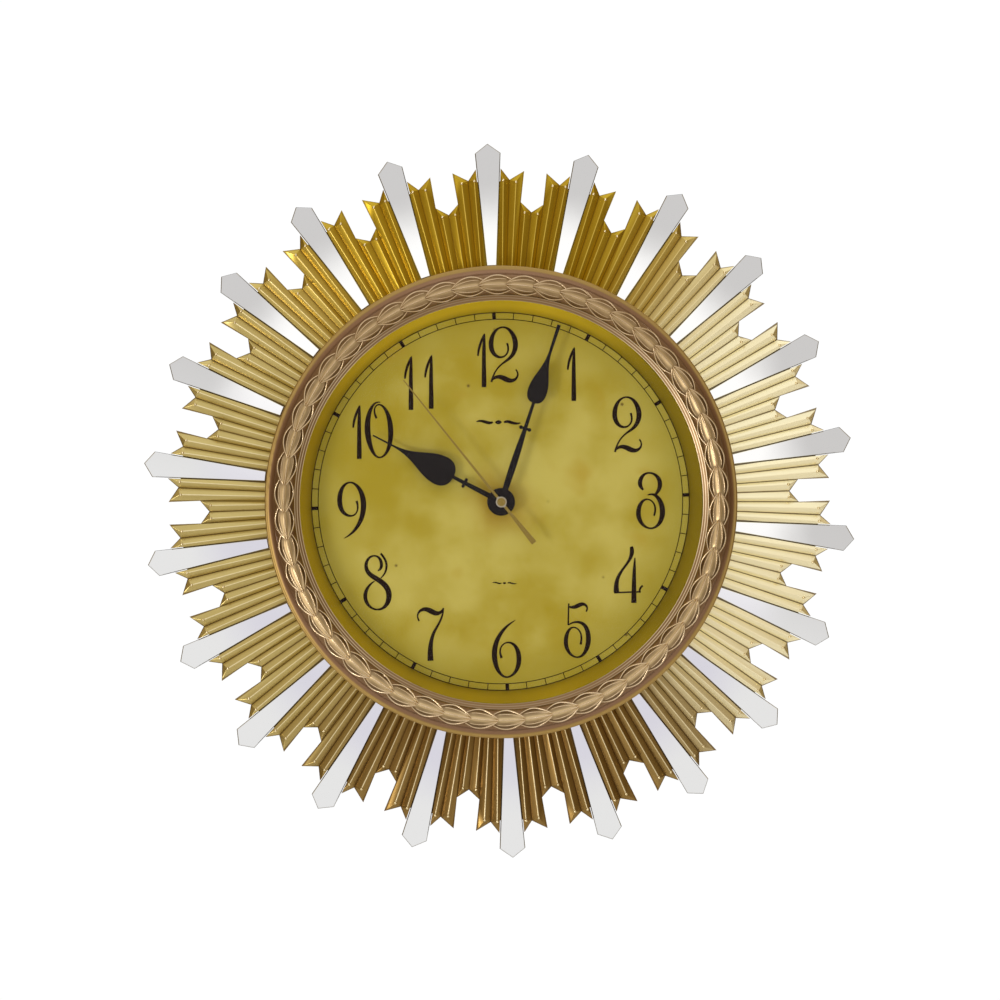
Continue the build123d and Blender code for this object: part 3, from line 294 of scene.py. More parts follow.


# %% [markdown]
# ## Bezel paints
# The ring carries three tones of the same paint. Its ground is a rose-brown bronze, the leaves are an olive
# gold with painted shade where they lie low and a painted highlight where they stand high, and every raised
# rib is rubbed to a pale rose gold. The outer bead is plain gold, the cove between it and the band is plain
# brown, and the inner bead has fine lines of painted highlight that are strongest at the sides. Radius alone
# tells these zones apart. Painted shade makes the leaves and ribs browner towards the top of the ring.

# %% Bezel ring, leaves and ribs
BEAD_HIGHLIGHT_LINES = 4100.0
INNER_BEAD_TO, BAND_FROM = garland_radius - 6.6 * MM, garland_radius - 5.4 * MM
BAND_TO, COVE_FROM = garland_radius + 4.8 * MM, garland_radius + 6.6 * MM
COVE_TO, OUTER_BEAD_FROM = bezel_radius - 3.2 * MM, bezel_radius - 1.8 * MM


def bezel_ground():
    paint = Finish("bezel_ground", Metallic=0.9)
    radius = paint.radius()
    clouds = paint.grain(70, 4)
    speckle = paint.grain(1100, 2)
    inner_bead = paint.ramp(radius, INNER_BEAD_TO, BAND_FROM, 1.0, 0.0)
    outer_bead = paint.ramp(radius, COVE_TO, OUTER_BEAD_FROM)
    across = paint.rightward()
    # Painted highlight: fine bright lines on the inner bead, fainter at the top and bottom.
    highlight_sideways = paint.ramp(across * across, 0.10, 0.60, 0.25, 1.0)
    waves = radius * BEAD_HIGHLIGHT_LINES
    highlight_lines = paint.ramp(waves.step("SINE", waves), 0.35, 0.95) * highlight_sideways
    cove = paint.ramp(radius, BAND_TO, COVE_FROM) * (1 - outer_bead)
    bronze = paint.blend(clouds, (0.15, 0.082, 0.038), (0.29, 0.175, 0.085))
    coved = paint.blend(cove, bronze, (0.27, 0.155, 0.088))
    beaded = paint.blend(outer_bead * (0.55 + clouds * 0.4), coved, (0.43, 0.285, 0.085))
    highlight_lined = paint.blend(highlight_lines, (0.25, 0.155, 0.075), (0.74, 0.60, 0.42))
    paint.set("Base Color", paint.blend(inner_bead, beaded, highlight_lined))
    paint.rough(0.33 + clouds * 0.16)
    paint.relief(speckle, 0.10)
    return paint


def shaded_above(paint, colour, shade_brown):
    """Blends a colour towards brown in the upper part of the ring, as painted shade."""
    return paint.blend(paint.ramp(paint.upward(), 0.4, 0.9, 0.0, 0.35), colour, shade_brown)


def leaf_bronze():
    paint = Finish("leaf_bronze", Metallic=0.9)
    clouds = paint.grain(120, 3)
    speckle = paint.grain(1300, 2)
    # Painted shade where the leaf lies low and a painted highlight where it stands high.
    high = paint.ramp(paint.depth(), clock_front - 2.0 * MM, clock_front - 0.3 * MM)
    low = paint.blend(clouds, (0.10, 0.055, 0.024), (0.20, 0.125, 0.055))
    lit = paint.blend(high, low, (0.68, 0.51, 0.28))
    paint.set("Base Color", shaded_above(paint, lit, (0.22, 0.12, 0.04)))
    paint.rough(0.28 + clouds * 0.16)
    paint.relief(speckle, 0.12)
    return paint


def rib_gold():
    paint = Finish("rib_gold", Metallic=0.95)
    clouds = paint.grain(160, 3)
    bright = paint.blend(clouds, (0.48, 0.34, 0.18), (0.88, 0.70, 0.50))
    paint.set("Base Color", shaded_above(paint, bright, (0.34, 0.20, 0.08)))
    paint.rough(0.18 + clouds * 0.14)
    return paint


def surround_gold():
    paint = Finish("surround_gold", Metallic=0.55)
    clouds = paint.grain(24, 4)
    speckle = paint.grain(1000, 2)
    # Painted shade at the foot of the surround, where it meets the paper; the top is painted lit and the right
    # shaded.
    foot = paint.ramp(paint.depth(), paper_front, paper_front + 12 * MM, 1.0, 0.0)
    olive = paint.blend(clouds, (0.54, 0.385, 0.006), (0.70, 0.52, 0.018))
    top_lit = paint.blend(paint.ramp(paint.upward(), 0.3, 0.9), olive, (0.93, 0.71, 0.030))
    shaded = paint.blend(paint.ramp(paint.rightward(), 0.3, 0.9), top_lit, (0.39, 0.295, 0.012))
    paint.set("Base Color", paint.blend(foot * 0.35, shaded, (0.26, 0.18, 0.006)))
    paint.rough(0.36 + clouds * 0.12)
    paint.relief(speckle, 0.08)
    return paint


# %% [markdown]
# ## Aged paper
# The dial is a printed card made to look old: cream that yellows in clouds, has an orange stain where the
# hands turn, and carries a few brown foxing spots. Its colour is also darker and greener towards its edge.
# Noise at four scales gives the clouds, the blotches and the fibre. The spots are the hearts of Voronoi cells,
# kept only in cells that drew a high number.

# %% Dial paper
def aged_paper():
    paper = Finish("aged_paper", Specular_IOR_Level=0.25)
    radius = paper.radius()
    broad = paper.grain(9.5, 2)
    cloud = paper.grain(34, 5)
    fibre = paper.grain(1500, 3)
    light = paper.ramp(broad * 0.60 + cloud * 0.50, 0.40, 0.70)
    cream = paper.blend(light, (0.47, 0.36, 0.006), (0.67, 0.575, 0.118))
    # Darker and greener towards the edge of the dial.
    edge = paper.ramp(radius + cloud * 0.018, 0.098, 0.130)
    darker_greener_edge = paper.blend(edge * 0.70, cream, (0.42, 0.345, 0.018))
    hub = paper.ramp(radius + cloud * 0.03, 0.018, 0.046, 0.75, 0.0)
    stained = paper.blend(hub, darker_greener_edge, (0.50, 0.31, 0.012))
    blotch = paper.ramp(paper.grain(27, 2), 0.62, 0.74, 0.0, 0.6)
    blotted = paper.blend(blotch, stained, (0.52, 0.35, 0.012))
    cells = paper.tree.nodes.new("ShaderNodeTexVoronoi")
    plug(paper.tree, cells.inputs["Vector"], paper.place)
    plug(paper.tree, cells.inputs["Scale"], 62.0)
    drawn = paper.node("SeparateColor", sockets={"Color": Wire(paper.tree, cells.outputs["Color"])})
    heart = paper.ramp(Wire(paper.tree, cells.outputs["Distance"]), 0.02, 0.10, 1.0, 0.0)
    spot = heart * paper.ramp(drawn, 0.62, 0.76) * 0.9
    spotted = paper.blend(spot, blotted, (0.13, 0.075, 0.006))
    paper.set("Base Color", paper.blend(fibre * 0.10, spotted, (0.62, 0.55, 0.28)))
    paper.rough(0.62 + fibre * 0.15)
    paper.relief(fibre, 0.15, 0.1 * MM)
    return paper


# %% [markdown]
# ## Ink, enamel and the clear lens
# The numerals are thick brown-black ink. The hands are pressed steel under black enamel, with a slight
# orange-peel in the gloss, and the second hand is sprayed gold, with a painted highlight round the rim of its
# cap. The lens is flat glass. It is nearly all see-through by a plain Alpha, which also lets the lamps light
# the dial behind it.

# %% Ink, hands and lens
def dial_ink():
    ink = Finish("dial_ink", Specular_IOR_Level=0.08)
    uneven = ink.grain(420, 3)
    ink.set("Base Color", ink.blend(uneven, (0.010, 0.0045, 0.0035), (0.026, 0.012, 0.007)))
    ink.rough(0.50 + uneven * 0.2)
    return ink


def hand_black():
    enamel = Finish("hand_black", Coat_Roughness=0.2, Coat_Weight=0.03, Specular_IOR_Level=0.12)
    peel = enamel.grain(1600, 2)
    enamel.set("Base Color", enamel.blend(peel, (0.006, 0.004, 0.005), (0.016, 0.011, 0.012)))
    enamel.rough(0.34 + peel * 0.14)
    enamel.relief(peel, 0.08)
    return enamel


def hand_gold():
    paint = Finish("hand_gold", Metallic=0.9)
    radius = paint.radius()
    speckle = paint.grain(1400, 2)
    # Painted highlight round the rim of the cap.
    rim_highlight = paint.ramp(radius, 2.4 * MM, 3.0 * MM) * paint.ramp(radius, 4.2 * MM, 3.6 * MM)
    gold = paint.blend(speckle, (0.22, 0.15, 0.030), (0.38, 0.27, 0.07))
    paint.set("Base Color", paint.blend(rim_highlight, gold, (0.50, 0.46, 0.38)))
    paint.rough(0.34 + speckle * 0.14)
    return paint


def clear_glass():
    glass = Finish("clear_glass", Alpha=0.05, IOR=1.5, Base_Color=(0.004, 0.006, 0.005))
    film = glass.grain(16, 2)
    glass.rough(0.02 + film * 0.03)
    return glass


# %% [markdown]
# ## What the back is made of
# The back cover and the movement are everyday materials: spark-eroded black plastic, plated screws, brass,
# nylon wheels, enamelled copper wire. Most of them differ only in colour, shine and the size of their grain,
# so one function makes them from those facts. A metal that is brushed gets noise stretched along one side.

# %% Plain workshop finishes
def plain_finish(name, dark, bright, rough, grain_scale, metal=0.0, dent=0.15, stretch=None):
    finish = Finish(name, Metallic=metal)
    where = finish.place
    if stretch:
        where = finish.node("Mapping", sockets={"Vector": finish.place, "Scale": stretch})
    fine = finish.grain(grain_scale, 3, where)
    broad = finish.grain(grain_scale / 14, 3, where)
    finish.set("Base Color", finish.blend(broad * 0.6 + fine * 0.4, dark, bright))
    finish.rough(rough + fine * 0.14)
    finish.relief(fine, dent)
    return finish


def copper_winding():
    """Enamelled wire, wound side by side along X, painted dark between the turns as painted shade."""
    wire = Finish("copper_wire", Metallic=0.9)
    turns = wire.node("TexWave", {"wave_type": "BANDS", "bands_direction": "X"},
                      {"Vector": wire.place, "Scale": 520.0, "Distortion": 0.4}, output="Fac")
    wire.set("Base Color", wire.blend(turns, (0.30, 0.085, 0.03), (0.72, 0.29, 0.13)))
    wire.rough(0.26 + turns * 0.1)
    wire.relief(turns, 0.6)
    return wire


def cell_jacket():
    """A battery's printed sleeve: a copper band at the positive end, black below, bare steel at the ends."""
    low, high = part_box("aa_cell")
    jacket = Finish("cell_jacket", Metallic=0.7)
    along = (jacket.parts_of_place()[0] - low.x) / (high.x - low.x)
    speckle = jacket.grain(1200, 2)
    band = jacket.ramp(along, 0.695, 0.705)
    sleeve = jacket.blend(band, (0.015, 0.015, 0.017), (0.62, 0.30, 0.12))
    ends = jacket.ramp(along, 0.012, 0.016, 1.0, 0.0) + jacket.ramp(along, 0.962, 0.966)
    jacket.set("Base Color", jacket.blend(ends, sleeve, (0.62, 0.62, 0.60)))
    jacket.rough(0.24 + speckle * 0.12)
    return jacket


def copper_board():
    """A green lacquered board with paler tracks, which are the bands of a distorted wave."""
    board = Finish("circuit_board")
    tracks = board.node("TexWave", {"wave_type": "BANDS", "bands_direction": "DIAGONAL"},
                        {"Vector": board.place, "Scale": 210.0, "Distortion": 3.0}, output="Fac")
    copper = board.ramp(tracks, 0.62, 0.70)
    board.set("Base Color", board.blend(copper, (0.010, 0.085, 0.028), (0.045, 0.22, 0.075)))
    board.rough(0.30 + copper * 0.1)
    board.relief(copper, 0.4, 0.1 * MM)
    return board


# %% Paint every CAD node by its slot
finishes = {
    "gold_moulding": fan_gold(),
    "mirror_glass": mirror_glass(),
    "bezel_gold": bezel_ground(),
    "clear_glass": clear_glass(),
    "surround_gold": surround_gold(),
    "dial_paper": aged_paper(),
    "black_plastic": plain_finish("black_plastic", (0.010, 0.010, 0.011), (0.030, 0.030, 0.032), 0.42, 1500),
    "steel": plain_finish("steel", (0.42, 0.42, 0.44), (0.60, 0.60, 0.61), 0.24, 900, 1.0, 0.1, (1, 1, 12)),
    "zinc_steel": plain_finish("zinc_steel", (0.50, 0.52, 0.54), (0.72, 0.73, 0.72), 0.28, 700, 1.0, 0.1),
    "movement_plastic": plain_finish("movement_plastic", (0.018, 0.018, 0.020), (0.045, 0.045, 0.050), 0.36, 1800),
    "white_plastic": plain_finish("white_plastic", (0.66, 0.65, 0.60), (0.80, 0.79, 0.74), 0.34, 1300),
    "rubber": plain_finish("rubber", (0.012, 0.012, 0.012), (0.028, 0.028, 0.028), 0.72, 1100, 0.0, 0.3),
    "brass": plain_finish("brass", (0.56, 0.38, 0.12), (0.78, 0.58, 0.24), 0.22, 900, 1.0, 0.1),
    "copper_wire": copper_winding(),
    "circuit_board": copper_board(),
    "cell_jacket": cell_jacket(),
    "red_plastic": plain_finish("red_plastic", (0.32, 0.012, 0.010), (0.48, 0.030, 0.022), 0.36, 1500),
    "hand_black": hand_black(),
    "hand_gold": hand_gold(),
}

node_slots = {row["node"]: row["material_slot"] for row in frame["record"]["subparts"]}
for node, slot in node_slots.items():
    piece = frame["nodes"][node]
    piece.data.materials.clear()
    piece.data.materials.append(finishes[slot].material)
print("painted", len(node_slots), "nodes with", len(finishes), "finishes")

# %% [markdown]
# ## Turning a mesh into a piece
# Every new piece ends the same way: its bmesh becomes an object at the origin, its faces are shaded smooth
# except across sharp edges, it takes a finish, and it is tied to the body of the clock that carries it.

# %% Helpers for new pieces
def settle(bm, name, finish, body="case", sharp=35.0):
    """Makes a finished, smoothly shaded piece from a bmesh and ties it to a body."""
    for face in bm.faces:
        face.smooth = True
    for edge in bm.edges:
        edge.smooth = edge.is_manifold and edge.calc_face_angle(0.0) < math.radians(sharp)
    mesh = bpy.data.meshes.new(name)
    bm.to_mesh(mesh)
    bm.free()
    piece = bpy.data.objects.new(name, mesh)
    bpy.context.scene.collection.objects.link(piece)
    mesh.materials.append(finish.material)
    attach(piece, body)
    print(name, len(mesh.polygons), "faces")
    return piece


def copy_of_node(node):
    """A CAD node's mesh as a bmesh of its own, with its loose triangles joined and flat faces made whole."""
    bm = bmesh.new()
    bm.from_mesh(frame["nodes"][node].data)
    bmesh.ops.remove_doubles(bm, verts=bm.verts, dist=2e-6)
    bmesh.ops.dissolve_limit(bm, angle_limit=math.radians(0.3), verts=bm.verts, edges=bm.edges)
    return bm


def on_ring(radius, clock_angle, depth):
    """A point from its distance to the axis, its clock angle in degrees and its distance from the wall."""
    turn = math.radians(clock_angle)
    return Vector((radius * math.sin(turn), -depth, radius * math.cos(turn)))


# %% [markdown]
# ## The pleated fans
# The sunburst is a ring of 22 fans between the mirrors, each pressed into six ridges with slanting ends. Its
# CAD solid has knife-edged crests. A pressed and painted crest is round, and it is this roundness that
# catches a thin line of light, so the crests and the slanting ends get a small bevel. The crests are found by
# their fold: the two faces beside one both look forward and lean apart.

# %% Round the crests
CREST_BEVEL = 0.40 * MM
CREST_FOLD = 22
LOOKS_FORWARD = -0.3
fans = copy_of_node("sunburst_frame")
crests = []
for edge in fans.edges:
    if not edge.is_manifold or not edge.is_convex:
        continue
    faces_forward = all(face.normal.y < LOOKS_FORWARD for face in edge.link_faces)
    if faces_forward and edge.calc_face_angle(0.0) > math.radians(CREST_FOLD):
        crests.append(edge)
ridge_ends = [
    vertex.co.copy() for vertex in fans.verts if sum(edge in crests for edge in vertex.link_edges) >= 3
]
bmesh.ops.bevel(
    fans, geom=crests, offset=CREST_BEVEL, segments=3, affect="EDGES", profile=0.5, material=-1,
)
print("rounded", len(crests), "crest edges")
pleats = settle(fans, "sunburst_pleats", finishes["gold_moulding"], sharp=28)
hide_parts("sunburst_frame")

# %% [markdown]
# ## Studs at the ridge ends
# Every ridge ends in a small round stud, which shows as a bright dot. One small ball sits where a crest meets
# its slanting end, moved a little inward along the crest and sunk by about half its radius.

# %% Studs
STUD_RADIUS = 1.0 * MM
STUD_SINK = 0.55 * MM
STUD_INWARD = 0.5 * MM
studs = bmesh.new()
for place in ridge_ends:
    made = bmesh.ops.create_uvsphere(studs, u_segments=8, v_segments=6, radius=STUD_RADIUS)
    inward = Vector((place.x, 0, place.z)).normalized() * -STUD_INWARD
    bmesh.ops.translate(studs, verts=made["verts"], vec=place + inward + Vector((0, STUD_SINK, 0)))
print(len(ridge_ends), "ridge ends")
settle(studs, "sunburst_studs", stud_gold(), sharp=60)

# %% [markdown]
# ## The bezel's ground
# The bezel ring comes from the CAD model with a plain rounded band. The garland needs a slightly lower ground,
# so that its leaves stand up without reaching past the front of the clock. The ring is copied, joined, and the
# part of the band in front of its foot is pressed back by a quarter.

# %% Lower the band
BAND_FOOT = clock_front - BAND_HEIGHT
BAND_ARC = 6.71 * MM
BAND_PRESS = 0.74


def ground_depth(across):
    """The depth of the pressed band at a distance from its middle line."""
    across = min(abs(across), BAND_HALF)
    return BAND_FOOT + BAND_PRESS * (math.sqrt(BAND_ARC ** 2 - across ** 2) - (BAND_ARC - BAND_HEIGHT))


ring = copy_of_node("bezel_ring")
pressed = 0
for vertex in ring.verts:
    if -vertex.co.y > BAND_FOOT:
        vertex.co.y = -(BAND_FOOT + (-vertex.co.y - BAND_FOOT) * BAND_PRESS)
        pressed += 1
ring_piece = settle(ring, "bezel_moulding", finishes["bezel_gold"], sharp=32)
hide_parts("bezel_ring")
print("pressed", pressed, "points of the band")

# %% [markdown]
# ## The leaf garland
# Fifty pointed leaves run round the band anticlockwise, each tip lying over the foot of the next. A leaf is
# a sheet of points: one coordinate runs from its foot to its tip and the other from edge to edge. A width that
# swells and then closes to a point gives the outline, and a cosine across it gives three soft lengthwise
# ridges. It is shaped flat first and then bent round the axis.

# %% Leaf cushions
LEAF_COUNT = 50
LEAF_PITCH = 360 / LEAF_COUNT
LEAF_HALF = 10.6 * MM
LEAF_WIDTH = 6.5 * MM
LEAF_RISE = 1.15 * MM
LEAF_TIP_LIFT = 0.28 * MM
LEAF_EDGE_SINK = 0.25 * MM
LEAF_STEPS = 14
LEAF_SWELL = -0.25
LEAF_FOOT_WIDTH = 0.55
LEAF_POINT = 1.9
LEAF_CROWN = 0.6
LEAF_GROOVE = 0.36
LEAF_FOOT_SLOPE = 2.5


def lay_on_band(along, across, rise, clock_angle):
    """Bends a flat place onto the band: along it, across it and up from its ground."""
    radius = garland_radius + across
    angle = clock_angle - math.degrees(along / garland_radius)
    return on_ring(radius, angle, ground_depth(across) + rise)


def leaf_width(u):
    """Half the leaf's width, with u from -1 at its foot to 1 at its tip."""
    if u < LEAF_SWELL:
        spread = math.sin((u + 1) / (LEAF_SWELL + 1) * math.pi / 2)
        return LEAF_WIDTH * (LEAF_FOOT_WIDTH + (1 - LEAF_FOOT_WIDTH) * spread)
    return LEAF_WIDTH * max(0.0, 1 - ((u - LEAF_SWELL) / (1 - LEAF_SWELL)) ** LEAF_POINT)


def leaf_place(u, w, lift, clock_angle):
    """A point on a leaf's surface: u runs from foot to tip and w from edge to edge."""
    ridges = 1 - LEAF_GROOVE + LEAF_GROOVE * math.cos(3 * math.pi * w)
    swell = max(0.0, 1 - w * w) ** LEAF_CROWN * ridges
    foot = min(1.0, (u + 1) * LEAF_FOOT_SLOPE)
    rise = LEAF_RISE * swell * foot + LEAF_TIP_LIFT * max(0.0, u) - LEAF_EDGE_SINK * abs(w) ** 4
    return lay_on_band(u * LEAF_HALF, w * leaf_width(min(u, 1.0)), rise + lift, clock_angle)


leaves = bmesh.new()
shares = [-1 + 2 * step / LEAF_STEPS for step in range(LEAF_STEPS + 1)]
for number in range(LEAF_COUNT):
    rows = [[leaves.verts.new(leaf_place(u, w, 0.0, number * LEAF_PITCH)) for w in shares] for u in shares]
    for near, far in zip(rows, rows[1:]):
        for column in range(LEAF_STEPS):
            leaves.faces.new((near[column], near[column + 1], far[column + 1], far[column]))
bmesh.ops.remove_doubles(leaves, verts=leaves.verts, dist=2e-6)
bmesh.ops.recalc_face_normals(leaves, faces=leaves.faces)
settle(leaves, "garland_leaves", leaf_bronze(), sharp=60)

# %% [markdown]
# ## Ribs on the leaves
# Each leaf is outlined by two raised ribs that cross at its tip and end in short tails on the next leaf, and
# has a midrib with two veins. They are drawn as curves: a curve object with a round bevel turns each line of a
# few points into a smooth round bar, and a point's radius makes it thinner there. The curves are then made a
# mesh.

# %% A bar drawn along points
def drawn_bars(name, lines, finish, sides, smooth, flatten=None):
    """Round bars along lines of (point, half thickness) pairs, as one piece."""
    drawing = bpy.data.curves.new(name, "CURVE")
    drawing.dimensions = "3D"
    drawing.bevel_depth = 1.0
    drawing.bevel_resolution = sides
    drawing.use_fill_caps = True
    drawing.resolution_u = smooth
    for line in lines:
        spline = drawing.splines.new("NURBS")
        spline.points.add(len(line) - 1)
        for point, (place, half) in zip(spline.points, line):
            point.co = (*place, 1.0)
            point.radius = half
        spline.order_u = min(4, len(line))
        spline.use_endpoint_u = True
    holder = bpy.data.objects.new(name + "_drawing", drawing)
    bpy.context.scene.collection.objects.link(holder)
    bpy.context.view_layer.update()
    mesh = bpy.data.meshes.new_from_object(holder.evaluated_get(bpy.context.evaluated_depsgraph_get()))
    bpy.data.objects.remove(holder)
    bm = bmesh.new()
    bm.from_mesh(mesh)
    bpy.data.meshes.remove(mesh)
    bmesh.ops.remove_doubles(bm, verts=bm.verts, dist=1e-6)
    if flatten:
        middle, share = flatten
        for vertex in bm.verts:
            vertex.co.y = middle + (vertex.co.y - middle) * share
    bmesh.ops.recalc_face_normals(bm, faces=bm.faces)
    return settle(bm, name, finish, sharp=70)


# %% Outline ribs, midribs and veins
RIB_HALF = 0.66 * MM
VEIN_HALF = 0.46 * MM
MIDRIB_HALF = VEIN_HALF * 1.3
RIB_LIFT = 0.02 * MM
VEIN_LIFT = 0.08 * MM
OUTLINE_AT, VEIN_AT = 0.93, 0.62
TAIL_REACH = LEAF_HALF * 1.14
TAIL_ACROSS = 1.5 * MM
TAIL_LIFT = 0.1 * MM
TAIL_HALF = RIB_HALF * 0.4
OUTLINE = ((-0.98, 0.5), (-0.7, 0.8), (-0.35, 1.0), (0.0, 1.0), (0.35, 1.0), (0.7, 0.9), (0.92, 0.8))
VEIN = ((-0.72, 0.4), (-0.3, 1.0), (0.2, 1.0), (0.72, 0.5))
MIDRIB = ((-0.76, 0.5), (-0.3, 1.0), (0.3, 1.0), (0.9, 0.6))


def leaf_line(stations, w, lift, half, clock_angle):
    """A line along a leaf through stations of (share of its length, share of the half thickness)."""
    return [(leaf_place(u, w, lift, clock_angle), half * share) for u, share in stations]


ribs = []
for number in range(LEAF_COUNT):
    angle = number * LEAF_PITCH
    for side in (-1, 1):
        tail = lay_on_band(TAIL_REACH, -side * TAIL_ACROSS, TAIL_LIFT, angle)
        ribs.append(leaf_line(OUTLINE, side * OUTLINE_AT, RIB_LIFT, RIB_HALF, angle) + [(tail, TAIL_HALF)])
        ribs.append(leaf_line(VEIN, side * VEIN_AT, VEIN_LIFT, VEIN_HALF, angle))
    ribs.append(leaf_line(MIDRIB, 0.0, RIB_LIFT, MIDRIB_HALF, angle))
drawn_bars("garland_ribs", ribs, rib_gold(), sides=1, smooth=3)

# %% [markdown]
# ## The printed dial
# The ink is a thin raised skin, so that it is real geometry that any renderer shows. A numeral is a pen
# drawing: the middle line of each stroke as a few points, with half the stroke's width at each. The round bar
# that the curve tool makes is pressed flat onto the paper. Numbers in the lists are millimetres from the
# numeral's middle.

